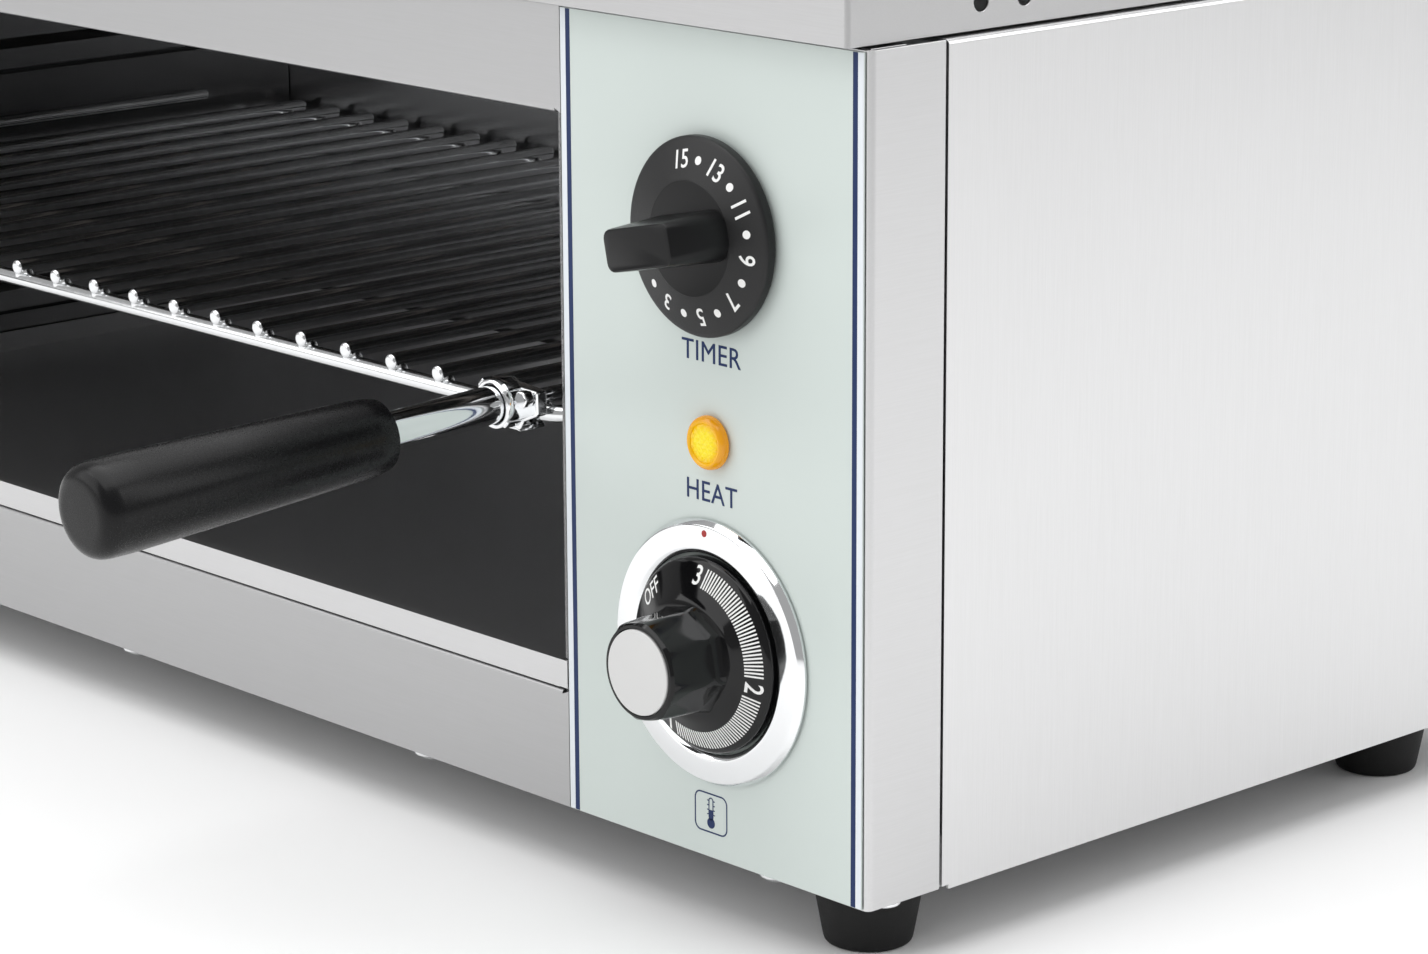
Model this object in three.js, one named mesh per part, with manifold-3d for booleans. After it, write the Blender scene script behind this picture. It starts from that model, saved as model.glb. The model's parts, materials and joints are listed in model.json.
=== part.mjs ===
// Countertop salamander grill: an open-fronted steel broiler with a pull-out wire rack, a crumb tray
// and a control box on the right. Millimetres, +X right, +Y from front to back, +Z up.
// The origin is the centre of the whole object's box in plan, on the surface that the feet stand on.
import * as THREE from "three";
import { mergeVertices } from "three/addons/utils/BufferGeometryUtils.js";
import Module from "manifold-3d";

const wasm = await Module();
wasm.setup();

// ---- Driving dimensions -------------------------------------------------------------------------
const WIDTH = 610; // over the two side panels
const DEPTH = 290; // front face to rear panel
const BODY_TOP = 224.3; // base edge to the top of the side panels
const FOOT_HEIGHT = 20;
const SHEET = 1; // sheet-metal thickness
const GAP = 0.3; // clearance kept between pieces that touch

const LID = { edge: 225, top: 260, frontOverhang: 5.5, rearOverhang: 2.5, sideInset: 3, hem: 4.5 };
const LID_VENTS = { radius: 2.7, height: 7.3, firstY: 42, pitch: 16, count: 13 };

const PANEL = { width: 117, sideReturn: 26.4, seam: 1, leftReturn: 18, topReturn: 15, film: 0.4 };
const SIDE = { drop: 0.8, post: 21.7, topReturn: 15, notch: 2.5 };

const CAVITY = { left: -283, right: 185, back: 264, front: 1.3, bottom: 20, ceiling: 217 };
const UPPER_FASCIA = { bottom: 195, flange: 14 };
const LOWER_FASCIA = { top: 33.7, flange: 14 };

const RIDGE = { depth: 6, height: 13.4, tops: [62, 107, 152], front: 8, back: 236 };
const GUIDE = { radius: 2.4, height: 121.6, front: 12, back: 222 };

const RACK = {
  firstRod: -269.9,
  pitch: 21.05,
  rods: 22,
  rodRadius: 2.4,
  rodZ: 114,
  rodFront: 1.6,
  rodBack: 261,
  railRadius: 2.5,
  sideRadius: 2.2,
  railZ: 109.9,
  frontRailY: 4.2,
  backRailY: 253,
  sideClear: 1.6,
};

const HANDLE = {
  inset: 5.75, // clamp centre inwards of the rack's outermost rod
  z: 113.2,
  droop: (2.7 * Math.PI) / 180, // the handle falls a little towards its front
  rodRadius: 5.4,
  rodInGrip: 88,
  gripFront: -144.5,
  gripBack: -48,
  gripRadiusBack: 10.8,
  gripRadiusFront: 13,
  gripRound: 9,
};
const CLAMP = { width: 26, bottom: 105.2, top: 119.6, front: -3.2, back: 1.3, collar: 7.5, collarFront: -8 };
const CLAMP_SCREW = { inset: 2.9, rise: 2.4, head: 2.6, shank: 1.5, hole: 1.9 };

const TRAY = { lipBottom: 34.4, lipTop: 42.3, floor: 34.3, sheet: 0.8, back: 261, sideClear: 1.2 };

const ELEMENT = { radius: 4, z: 204, left: -258, rows: [52, 166], span: 58, terminal: 203 };
const HANGER = { xs: { left: -190, right: 96 }, bottom: 197.6, thickness: 1.2 };

const TIMER = {
  x: 246.4,
  z: 170.3,
  skirtRadius: 26.4,
  bossRadius: 15.3,
  gripLength: 25.7,
  gripWidth: 11.4,
  gripSpread: 1.2, // how much larger the grip is at its foot
  gripFront: -25.9,
  turn: (12.5 * Math.PI) / 180, // anticlockwise from level, seen from the front
  bodyDepth: 34,
};
const REGULATOR = {
  x: 247.2,
  z: 58,
  bezelRadius: 36.4,
  dialRadius: 26.6,
  gripFoot: 14.8,
  coneTop: 10.3, // how far the dial's cone stands out at the grip's foot
  gripTip: 13.4,
  gripFront: -27.4,
  capRadius: 11.5,
  gripSides: 8,
  gripTurn: (12.5 * Math.PI) / 180,
  bodyDepth: 32,
};
const LAMP = { x: 247.2, z: 115.4, lensRadius: 7.3, bodyRadius: 5.8 };

const FOOT = { bottomRadius: 12, topRadius: 14.8, inset: 25, frontY: 25, rearY: 240, recess: 5.2 };
const BASE_SCREW = { radius: 4.6, dome: 2.8, y: 5.4, firstX: 265, pitch: 146, count: 4 };
const GLAND = { x: 245, z: 40, bore: 4, collar: 11, reach: 13 };

const RIGHT_FACE = WIDTH / 2;
const LEFT_FACE = -WIDTH / 2;
const PANEL_LEFT = RIGHT_FACE - PANEL.width;

// ---- Materials ----------------------------------------------------------------------------------
function finish(color, roughness, metalness) {
  return new THREE.MeshStandardMaterial({ color, roughness, metalness });
}

const FINISH = {
  casing: finish("#c9cbcc", 0.35, 1),
  liner: finish("#8d8f90", 0.3, 1),
  chrome: finish("#dfe2e4", 0.12, 1),
  film: finish("#cfd9d4", 0.5, 0),
  blackPlastic: finish("#17181a", 0.45, 0),
  glossBlack: finish("#0c0d0f", 0.15, 0),
  white: finish("#f2f2f0", 0.4, 0),
  amber: finish("#ff9a0a", 0.2, 0),
  rubber: finish("#1d1d1d", 0.8, 0),
  element: finish("#5b5854", 0.5, 0.8),
  zinc: finish("#b9bcc0", 0.4, 1),
  insulation: finish("#e9e6dc", 0.9, 0),
  ceramic: finish("#efe9dd", 0.5, 0),
  redWire: finish("#a52a20", 0.5, 0),
  blueWire: finish("#2a4c9a", 0.5, 0),
};

// ---- Shape helpers ------------------------------------------------------------------------------
/** A box between two corners. */
function block(x0, x1, y0, y1, z0, z1) {
  const geometry = new THREE.BoxGeometry(x1 - x0, y1 - y0, z1 - z0);
  return geometry.translate((x0 + x1) / 2, (y0 + y1) / 2, (z0 + z1) / 2);
}

/** A cylinder of any number of sides from one point to another. */
function bar(radius, from, to, sides = 12, endRadius = radius) {
  const start = new THREE.Vector3(...from);
  const along = new THREE.Vector3(...to).sub(start);
  const geometry = new THREE.CylinderGeometry(endRadius, radius, along.length(), sides);
  geometry.rotateY(Math.PI / sides);
  geometry.translate(0, along.length() / 2, 0);
  const turn = new THREE.Quaternion().setFromUnitVectors(new THREE.Vector3(0, 1, 0), along.normalize());
  return geometry.applyQuaternion(turn).translate(start.x, start.y, start.z);
}

/** A turned piece: profile points are [radius, height], and height runs along +Z. */
function turned(profile, sides) {
  const points = profile.map(([radius, height]) => new THREE.Vector2(radius, height));
  return new THREE.LatheGeometry(points, sides).rotateX(Math.PI / 2);
}

/** A turned piece whose height runs towards the front, -Y, from a point on the front face. */
function turnedToFront(profile, sides, x, z) {
  return turned(profile, sides).rotateX(Math.PI / 2).translate(x, 0, z);
}

/** A round tube along a curve, closed at both ends. */
function tube(curve, radius, steps, sides) {
  const ring = Array.from({ length: sides }, (_, i) => (2 * Math.PI * i) / sides);
  const section = new THREE.Shape(ring.map((a) => new THREE.Vector2(radius * Math.cos(a), radius * Math.sin(a))));
  return new THREE.ExtrudeGeometry(section, { steps, extrudePath: curve, bevelEnabled: false });
}

function solid(geometry) {
  const bare = geometry.clone();
  bare.deleteAttribute("normal");
  bare.deleteAttribute("uv");
  const merged = mergeVertices(bare, 1e-4);
  const mesh = new wasm.Mesh({
    numProp: 3,
    vertProperties: merged.attributes.position.array,
    triVerts: new Uint32Array(merged.index.array),
  });
  return new wasm.Manifold(mesh);
}

function geometryOf(manifold) {
  const mesh = manifold.getMesh();
  const geometry = new THREE.BufferGeometry();
  geometry.setAttribute("position", new THREE.BufferAttribute(mesh.vertProperties, 3));
  geometry.setIndex(new THREE.BufferAttribute(mesh.triVerts, 1));
  geometry.computeVertexNormals();
  return geometry;
}

function join(...geometries) {
  return geometryOf(geometries.map(solid).reduce((whole, next) => whole.add(next)));
}

function cut(geometry, ...tools) {
  return geometryOf(tools.map(solid).reduce((whole, tool) => whole.subtract(tool), solid(geometry)));
}

const body = new THREE.Group();

function piece(name, geometry, material) {
  const mesh = new THREE.Mesh(geometry, material);
  mesh.name = name;
  body.add(mesh);
}

// ---- Casing -------------------------------------------------------------------------------------
/** The round holes in the base for the foot screws and the dome-headed screws. */
function baseHoles() {
  const through = (radius, x, y) => bar(radius, [x, y, -SHEET], [x, y, 2 * SHEET], 10);
  const feet = footPlaces().map(({ x, y }) => through(3, x, y));
  const screws = baseScrewPlaces().map(({ x, y }) => through(2, x, y));
  return [...feet, ...screws];
}

function addBasePan() {
  const side = SHEET + GAP;
  const x0 = LEFT_FACE + side;
  const x1 = RIGHT_FACE - side;
  const y0 = side;
  const y1 = DEPTH - side;
  const rim = 14;
  const outside = block(x0, x1, y0, y1, 0, rim);
  const inside = block(x0 + SHEET, x1 - SHEET, y0 - SHEET, y1 - SHEET, SHEET, rim + SHEET);
  piece("base_pan", cut(outside, inside, ...baseHoles()), FINISH.casing);
}

function addControlPanel() {
  const left = PANEL_LEFT;
  const front = block(left, RIGHT_FACE, 0, SHEET, 0, BODY_TOP);
  const rightReturn = block(RIGHT_FACE - SHEET, RIGHT_FACE, 0, PANEL.sideReturn, 0, BODY_TOP);
  const leftReturn = block(left, left + SHEET, 0, PANEL.leftReturn, 2 * SHEET, BODY_TOP);
  const topReturn = block(left, RIGHT_FACE, 0, PANEL.topReturn, BODY_TOP - SHEET, BODY_TOP);
  const shell = join(front, rightReturn, leftReturn, topReturn);
  piece("control_panel", cut(shell, ...panelHoles(-SHEET, 2 * SHEET)), FINISH.casing);
}

/** The holes that the timer shaft, the lamp and the regulator shaft come through. */
function panelHoles(y0, y1) {
  return [
    bar(5.5, [TIMER.x, y0, TIMER.z], [TIMER.x, y1, TIMER.z], 16),
    bar(LAMP.bodyRadius + 0.5, [LAMP.x, y0, LAMP.z], [LAMP.x, y1, LAMP.z], 16),
    bar(5.5, [REGULATOR.x, y0, REGULATOR.z], [REGULATOR.x, y1, REGULATOR.z], 16),
  ];
}

function addPanelFilm() {
  const edge = 0.5;
  const y0 = -GAP - PANEL.film;
  const sheet = block(PANEL_LEFT + edge, RIGHT_FACE - 1.8, y0, -GAP, edge, BODY_TOP - edge);
  piece("panel_film", cut(sheet, ...panelHoles(-2 * SHEET, SHEET)), FINISH.film);
}

function addSidePanels() {
  const bottom = -SIDE.drop;
  const leftWall = block(LEFT_FACE, LEFT_FACE + SHEET, 0, DEPTH, bottom, BODY_TOP);
  const leftPost = block(LEFT_FACE, LEFT_FACE + SIDE.post, 0, SHEET, bottom, BODY_TOP);
  const leftTop = block(LEFT_FACE, LEFT_FACE + SIDE.topReturn, 0, DEPTH, BODY_TOP - SHEET, BODY_TOP);
  piece("left_side_panel", join(leftWall, leftPost, leftTop), FINISH.casing);

  const front = PANEL.sideReturn + PANEL.seam;
  const rightWall = block(RIGHT_FACE - SHEET, RIGHT_FACE, front, DEPTH, bottom, BODY_TOP);
  const topZ = BODY_TOP - SHEET;
  const rightTop = block(RIGHT_FACE - SIDE.topReturn, RIGHT_FACE, front, DEPTH, topZ, BODY_TOP);
  const notch = block(RIGHT_FACE - 2, RIGHT_FACE + 1, front - 1, front + SIDE.notch, bottom - 1, 0.4);
  piece("right_side_panel", cut(join(rightWall, rightTop), notch), FINISH.casing);
}

/** Cooling slots in two columns behind the control box. */
function rearSlots() {
  const slots = { rows: 7, bottom: 90, pitch: 15, height: 4, width: 34, lefts: [205, 250] };
  const tools = [];
  for (let row = 0; row < slots.rows; row += 1) {
    const z = slots.bottom + row * slots.pitch;
    slots.lefts.forEach((x) => {
      tools.push(block(x, x + slots.width, DEPTH - 3 * SHEET, DEPTH + SHEET, z, z + slots.height));
    });
  }
  return tools;
}

function addRearPanel() {
  const side = SHEET + GAP;
  const sheet = block(LEFT_FACE + side, RIGHT_FACE - side, DEPTH - SHEET, DEPTH, 0, BODY_TOP - side);
  const gland = bar(8.4, [GLAND.x, DEPTH - 2 * SHEET, GLAND.z], [GLAND.x, DEPTH + SHEET, GLAND.z], 16);
  piece("rear_panel", cut(sheet, gland, ...rearSlots()), FINISH.casing);
}

function lidVents() {
  const z = LID.edge + LID_VENTS.height;
  const vents = [];
  for (let i = 0; i < LID_VENTS.count; i += 1) {
    const y = LID_VENTS.firstY + i * LID_VENTS.pitch;
    const reach = RIGHT_FACE + 1;
    vents.push(bar(LID_VENTS.radius, [-reach, y, z], [-reach + 10, y, z], 8));
    vents.push(bar(LID_VENTS.radius, [reach - 10, y, z], [reach, y, z], 8));
  }
  return vents;
}

function addTopLid() {
  const x = RIGHT_FACE - LID.sideInset;
  const y0 = -LID.frontOverhang;
  const y1 = DEPTH + LID.rearOverhang;
  const shell = block(-x, x, y0, y1, LID.edge, LID.top);
  const hollow = block(SHEET - x, x - SHEET, y0 + SHEET, y1 - SHEET, LID.edge - 1, LID.top - SHEET);
  const hem = block(-x, x, y0, y0 + LID.hem, LID.edge, LID.edge + SHEET);
  const lid = geometryOf(solid(shell).subtract(solid(hollow)).add(solid(hem)));
  piece("top_lid", cut(lid, ...lidVents()), FINISH.casing);
}

function addFascias() {
  const x0 = CAVITY.left;
  const x1 = PANEL_LEFT - 0.6;
  const flangeX0 = CAVITY.left + GAP;
  const flangeX1 = CAVITY.right - GAP;
  const upper = join(
    block(x0, x1, 0, SHEET, UPPER_FASCIA.bottom, BODY_TOP),
    block(flangeX0, flangeX1, 0, UPPER_FASCIA.flange, UPPER_FASCIA.bottom, UPPER_FASCIA.bottom + SHEET),
    block(flangeX0, flangeX1, 0, UPPER_FASCIA.flange, BODY_TOP - SHEET, BODY_TOP),
  );
  piece("upper_fascia", upper, FINISH.casing);
  const lower = join(
    block(x0, x1, 0, SHEET, 0, LOWER_FASCIA.top),
    block(flangeX0, flangeX1, 0, LOWER_FASCIA.flange, LOWER_FASCIA.top - SHEET, LOWER_FASCIA.top),
  );
  piece("lower_fascia", lower, FINISH.casing);
}

// ---- Grill cavity -------------------------------------------------------------------------------
/** A pressed ledge with round ends, lying along Y on the YZ plane and standing out along +X. */
function ridge(top, grow, depth) {
  const radius = RIDGE.height / 2 + grow;
  const middle = top - RIDGE.height / 2;
  const halfTurn = Math.PI / 2;
  const outline = new THREE.Shape();
  outline.absarc(RIDGE.back - RIDGE.height / 2, middle, radius, -halfTurn, halfTurn, false);
  outline.absarc(RIDGE.front + RIDGE.height / 2, middle, radius, halfTurn, 3 * halfTurn, false);
  outline.closePath();
  const shape = new THREE.ExtrudeGeometry(outline, { depth, bevelEnabled: false, curveSegments: 4 });
  const toWall = new THREE.Matrix4().makeBasis(
    new THREE.Vector3(0, 1, 0),
    new THREE.Vector3(0, 0, 1),
    new THREE.Vector3(1, 0, 0),
  );
  return shape.applyMatrix4(toWall);
}

/** A cavity side wall with its ledges: `side` is 1 when the cavity lies on its +X side. */
function sideWall(faceX, side) {
  const back = faceX - side * SHEET;
  const sheet = block(
    Math.min(back, faceX),
    Math.max(back, faceX),
    CAVITY.front,
    CAVITY.back,
    CAVITY.bottom,
    CAVITY.ceiling - GAP,
  );
  const place = (shape, offset) => (side > 0 ? shape.translate(offset, 0, 0) : shape.translate(-offset, 0, 0));
  const mirrored = (shape) => (side > 0 ? shape : flipX(shape));
  const outer = RIDGE.tops.map((top) => place(mirrored(ridge(top, 0, RIDGE.depth)), side * faceX));
  const inner = RIDGE.tops.map((top) => {
    const hollow = mirrored(ridge(top, -SHEET, RIDGE.depth));
    return place(hollow, side * faceX - SHEET);
  });
  return cut(join(sheet, ...outer), ...inner);
}

/** Mirrors a closed shape in the YZ plane and turns its faces back outwards. */
function flipX(geometry) {
  const flat = geometry.index ? geometry.toNonIndexed() : geometry.clone();
  const position = flat.attributes.position;
  for (let i = 0; i < position.count; i += 3) {
    const corners = [i, i + 1, i + 2].map((k) => new THREE.Vector3().fromBufferAttribute(position, k));
    [corners[0], corners[2], corners[1]].forEach((c, k) => position.setXYZ(i + k, -c.x, c.y, c.z));
  }
  return flat;
}

function addCavity() {
  piece("cavity_left_wall", sideWall(CAVITY.left, 1), FINISH.liner);

  const holes = elementLegs().map(({ y }) => {
    return bar(ELEMENT.radius + 1, [CAVITY.right - 2, y, ELEMENT.z], [CAVITY.right + 3, y, ELEMENT.z], 12);
  });
  piece("cavity_right_wall", cut(sideWall(CAVITY.right, -1), ...holes), FINISH.liner);

  const x0 = CAVITY.left - SHEET;
  const x1 = CAVITY.right + SHEET;
  const backY = CAVITY.back + GAP;
  const backWall = block(x0, x1, backY, backY + SHEET, CAVITY.bottom, CAVITY.ceiling + SHEET);
  piece("cavity_back_wall", backWall, FINISH.liner);

  const floorTop = LOWER_FASCIA.top;
  const innerX0 = CAVITY.left + GAP;
  const innerX1 = CAVITY.right - GAP;
  const floorFront = LOWER_FASCIA.flange + GAP;
  const floor = block(innerX0, innerX1, floorFront, CAVITY.back, floorTop - SHEET, floorTop);
  piece("cavity_floor", floor, FINISH.liner);

  const lip = 12;
  const ceiling = join(
    block(x0, x1, UPPER_FASCIA.flange + GAP, CAVITY.back, CAVITY.ceiling, CAVITY.ceiling + SHEET),
    block(
      innerX0,
      innerX1,
      UPPER_FASCIA.flange + GAP,
      UPPER_FASCIA.flange + GAP + SHEET,
      CAVITY.ceiling - lip,
      CAVITY.ceiling + SHEET,
    ),
  );
  piece("ceiling_reflector", ceiling, FINISH.liner);
}

function addInsulation() {
  const bottom = CAVITY.ceiling + SHEET + GAP;
  const x0 = CAVITY.left + 8;
  const x1 = CAVITY.right - 4;
  const slab = block(x0, x1, UPPER_FASCIA.flange + 5, CAVITY.back - 4, bottom, bottom + 22);
  piece("roof_insulation", slab, FINISH.insulation);

  const shieldX = PANEL_LEFT + PANEL.leftReturn;
  const shield = join(
    block(shieldX, shieldX + SHEET, PANEL.topReturn + 10, DEPTH - 20, 2, 214),
    block(shieldX, shieldX + 8, PANEL.topReturn + 10, DEPTH - 20, 2, 2 + SHEET),
  );
  const wireY = ELEMENT.rows[1];
  const wireHole = bar(4, [shieldX - 2, wireY, ELEMENT.z], [shieldX + 3, wireY, ELEMENT.z], 10);
  piece("heat_shield", cut(shield, wireHole), FINISH.zinc);
}

function addRackGuides() {
  const offset = GUIDE.radius + GAP;
  const places = { left: CAVITY.left + offset, right: CAVITY.right - offset };
  for (const [side, x] of Object.entries(places)) {
    const guide = bar(GUIDE.radius, [x, GUIDE.front, GUIDE.height], [x, GUIDE.back, GUIDE.height], 12);
    piece(`rack_guide_${side}`, guide, FINISH.chrome);
  }
}

// ---- Wire rack ----------------------------------------------------------------------------------
function addWireRack() {
  const x0 = CAVITY.left + RACK.sideClear + RACK.railRadius;
  const x1 = CAVITY.right - RACK.sideClear - RACK.railRadius;
  const z = RACK.railZ;
  const reach = RACK.railRadius;
  const crossRails = [RACK.frontRailY, RACK.backRailY].map((y) => {
    return bar(RACK.railRadius, [x0 - reach, y, z], [x1 + reach, y, z], 8);
  });
  const sideRails = [x0, x1].map((x) => {
    return bar(RACK.sideRadius, [x, RACK.frontRailY + 1, z], [x, RACK.backRailY - 1, z], 10);
  });
  const rods = Array.from({ length: RACK.rods }, (_, i) => {
    const x = RACK.firstRod + i * RACK.pitch;
    return bar(RACK.rodRadius, [x, RACK.rodFront, RACK.rodZ], [x, RACK.rodBack, RACK.rodZ], 6);
  });
  piece("wire_rack", join(...crossRails, ...sideRails, ...rods), FINISH.chrome);
}

/** Turns a handle's shape down about its clamp, so that its front end hangs lower. */
function drooped(geometry) {
  const { front } = CLAMP;
  return geometry.translate(0, -front, -HANDLE.z).rotateX(HANDLE.droop).translate(0, front, HANDLE.z);
}

/** The die-cast clamp that holds a handle on the rack's front rail. */
function clamp(x, outward) {
  const half = CLAMP.width / 2;
  const plate = block(x - half, x + half, CLAMP.front, CLAMP.back, CLAMP.bottom + 3, CLAMP.top - 2);
  const neck = block(x - 6, x + 6, CLAMP.front, CLAMP.back, CLAMP.bottom, CLAMP.bottom + 3.5);
  const tab = block(x - 6, x + 6, CLAMP.front, 7, CLAMP.bottom, CLAMP.bottom + 1.6);
  const railTop = RACK.railZ + RACK.railRadius;
  const hookX = x - outward * 4.5;
  const hook = block(hookX - 5.4, hookX + 5.4, CLAMP.front, 9, railTop + 0.4, railTop + 3);
  const collar = bar(CLAMP.collar, [x, CLAMP.front + 1, HANDLE.z], [x, CLAMP.collarFront, HANDLE.z], 16);
  const socket = HANDLE.rodRadius + GAP;
  const bore = bar(socket, [x, CLAMP.front + 0.6, HANDLE.z], [x, CLAMP.collarFront - 1, HANDLE.z], 16);
  const screw = screwPlace(x, outward);
  const hole = bar(CLAMP_SCREW.hole, [screw.x, CLAMP.front - 1, screw.z], [screw.x, CLAMP.back + 1, screw.z], 8);
  return cut(join(plate, neck, tab, hook, drooped(collar)), drooped(bore), hole);
}

function screwPlace(x, outward) {
  return { x: x + outward * (CLAMP.width / 2 - CLAMP_SCREW.inset), z: HANDLE.z + CLAMP_SCREW.rise };
}

function gripProfile() {
  const length = HANDLE.gripBack - HANDLE.gripFront;
  const { gripRadiusBack: back, gripRadiusFront: front, gripRound: round } = HANDLE;
  const arc = [0.25, 0.5, 0.75, 1].map((share) => {
    const angle = (share * Math.PI) / 2;
    return [front - round + round * Math.cos(angle), length - round + round * Math.sin(angle)];
  });
  const bore = HANDLE.rodRadius + GAP;
  const depth = HANDLE.rodInGrip + 2;
  return [[0, depth], [bore, depth], [bore, 0], [back - 1, 0], [back, 1], [front, length - round], ...arc, [0, length]];
}

function addHandle(side, x, outward) {
  piece(`handle_clamp_${side}`, clamp(x, outward), FINISH.chrome);

  const place = screwPlace(x, outward);
  const screw = join(
    bar(CLAMP_SCREW.head, [place.x, CLAMP.front - GAP, place.z], [place.x, CLAMP.front - 3.4, place.z], 6),
    bar(CLAMP_SCREW.shank, [place.x, CLAMP.front - 1, place.z], [place.x, CLAMP.back + 3, place.z], 8),
  );
  piece(`handle_screw_${side}`, screw, FINISH.chrome);

  const rodBack = CLAMP.front + GAP;
  const rodFront = HANDLE.gripBack - HANDLE.rodInGrip;
  const rod = bar(HANDLE.rodRadius, [x, rodBack, HANDLE.z], [x, rodFront, HANDLE.z], 16);
  piece(`handle_rod_${side}`, drooped(rod), FINISH.chrome);

  const grip = turnedToFront(gripProfile(), 18, x, HANDLE.z).translate(0, HANDLE.gripBack, 0);
  piece(`handle_grip_${side}`, drooped(grip), FINISH.blackPlastic);
}

function addHandles() {
  const lastRod = RACK.firstRod + (RACK.rods - 1) * RACK.pitch;
  addHandle("left", RACK.firstRod + HANDLE.inset, -1);
  addHandle("right", lastRod - HANDLE.inset, 1);
}

// ---- Crumb tray ---------------------------------------------------------------------------------
function addCrumbTray() {
  const x0 = CAVITY.left + TRAY.sideClear;
  const x1 = CAVITY.right - TRAY.sideClear;
  const t = TRAY.sheet;
  const shell = block(x0, x1, 0, TRAY.back, TRAY.floor, TRAY.lipTop);
  const hollow = block(x0 + t, x1 - t, t, TRAY.back - t, TRAY.floor + t, TRAY.lipTop + 1);
  const lip = block(CAVITY.left + 0.5, PANEL_LEFT - 1, 0, t, TRAY.lipBottom, TRAY.lipTop);
  const roll = block(CAVITY.left + 0.5, PANEL_LEFT - 1, 0, 3, TRAY.lipTop - t, TRAY.lipTop);
  const clearance = CAVITY.front - GAP;
  const ends = block(x1, PANEL_LEFT, clearance - 0.2, 5, TRAY.lipBottom - 1, TRAY.lipTop + 1);
  const endsLeft = block(CAVITY.left, x0, clearance - 0.2, 5, TRAY.lipBottom - 1, TRAY.lipTop + 1);
  const front = cut(join(lip, roll), ends, endsLeft);
  const tray = geometryOf(solid(shell).subtract(solid(hollow)).add(solid(front)));
  piece("crumb_tray", tray, FINISH.liner);
}

// ---- Heating elements ---------------------------------------------------------------------------
function elementLegs() {
  return ELEMENT.rows.flatMap((y) => [{ y }, { y: y + ELEMENT.span }]);
}

/** A hairpin: two straight legs along X joined by a half-round bend at the left. */
function hairpin(y) {
  const radius = ELEMENT.span / 2;
  const bendX = ELEMENT.left + radius;
  const at = (x, yy) => new THREE.Vector3(x, yy, ELEMENT.z);
  const legEnd = PANEL_LEFT + 2;
  const bend = [];
  const segments = 10;
  for (let i = 0; i <= segments; i += 1) {
    const angle = Math.PI / 2 + (Math.PI * i) / segments;
    bend.push(at(bendX + radius * Math.cos(angle), y + radius - radius * Math.sin(angle)));
  }
  const corners = [at(legEnd, y), ...bend, at(legEnd, y + ELEMENT.span)];
  return sweptPolyline(corners, ELEMENT.radius, 10);
}

/** A tube whose rings stand on the corners of a flat path, each on the mitre of its two neighbours. */
function sweptPolyline(corners, radius, sides) {
  const vertices = [];
  const triangles = [];
  corners.forEach((corner, i) => {
    const before = corners[Math.max(i - 1, 0)];
    const after = corners[Math.min(i + 1, corners.length - 1)];
    const along = after.clone().sub(before).normalize();
    const across = new THREE.Vector3(-along.y, along.x, 0);
    for (let k = 0; k < sides; k += 1) {
      const angle = (2 * Math.PI * (k + 0.5)) / sides;
      const offset = across.clone().multiplyScalar(radius * Math.cos(angle));
      offset.z = radius * Math.sin(angle);
      vertices.push(...corner.clone().add(offset).toArray());
    }
  });
  const ringCount = corners.length;
  for (let i = 0; i + 1 < ringCount; i += 1) {
    for (let k = 0; k < sides; k += 1) {
      const a = i * sides + k;
      const b = i * sides + ((k + 1) % sides);
      triangles.push(a, b, a + sides, b, b + sides, a + sides);
    }
  }
  for (let k = 1; k + 1 < sides; k += 1) {
    const last = (ringCount - 1) * sides;
    triangles.push(0, k + 1, k, last, last + k, last + k + 1);
  }
  const geometry = new THREE.BufferGeometry();
  geometry.setAttribute("position", new THREE.Float32BufferAttribute(vertices, 3));
  geometry.setIndex(triangles);
  return geometry;
}

function addHeatingElements() {
  const names = ["heating_element_front", "heating_element_rear"];
  ELEMENT.rows.forEach((y, i) => {
    const pins = [y, y + ELEMENT.span].map((legY) => {
      return bar(1.6, [PANEL_LEFT, legY, ELEMENT.z], [ELEMENT.terminal, legY, ELEMENT.z], 8);
    });
    piece(names[i], join(hairpin(y), ...pins), FINISH.element);
  });
  for (const [side, x] of Object.entries(HANGER.xs)) {
    const strip = block(x, x + HANGER.thickness, 30, 246, HANGER.bottom, CAVITY.ceiling - GAP);
    const holes = elementLegs().map(({ y }) => {
      return bar(ELEMENT.radius + 0.6, [x - 3, y, ELEMENT.z], [x + 5, y, ELEMENT.z], 12);
    });
    piece(`element_hanger_${side}`, cut(strip, ...holes), FINISH.liner);
  }
}

// ---- Controls -----------------------------------------------------------------------------------
const SHAFT_RADIUS = 3;

/** A boxed control behind the panel, with a bore for its shaft. */
function controlBox(x, z, width, height, depth) {
  const front = SHEET + GAP;
  const box = block(x - width / 2, x + width / 2, front, front + depth, z - height / 2, z + height / 2);
  const bore = bar(SHAFT_RADIUS + GAP, [x, -2, z], [x, front + depth / 2, z], 12);
  const neck = bar(4.6, [x, front + 1, z], [x, -0.4, z], 12);
  return cut(join(box, neck), bore);
}

function shaft(x, z, back, front) {
  return bar(SHAFT_RADIUS, [x, back, z], [x, front, z], 12);
}

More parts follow.
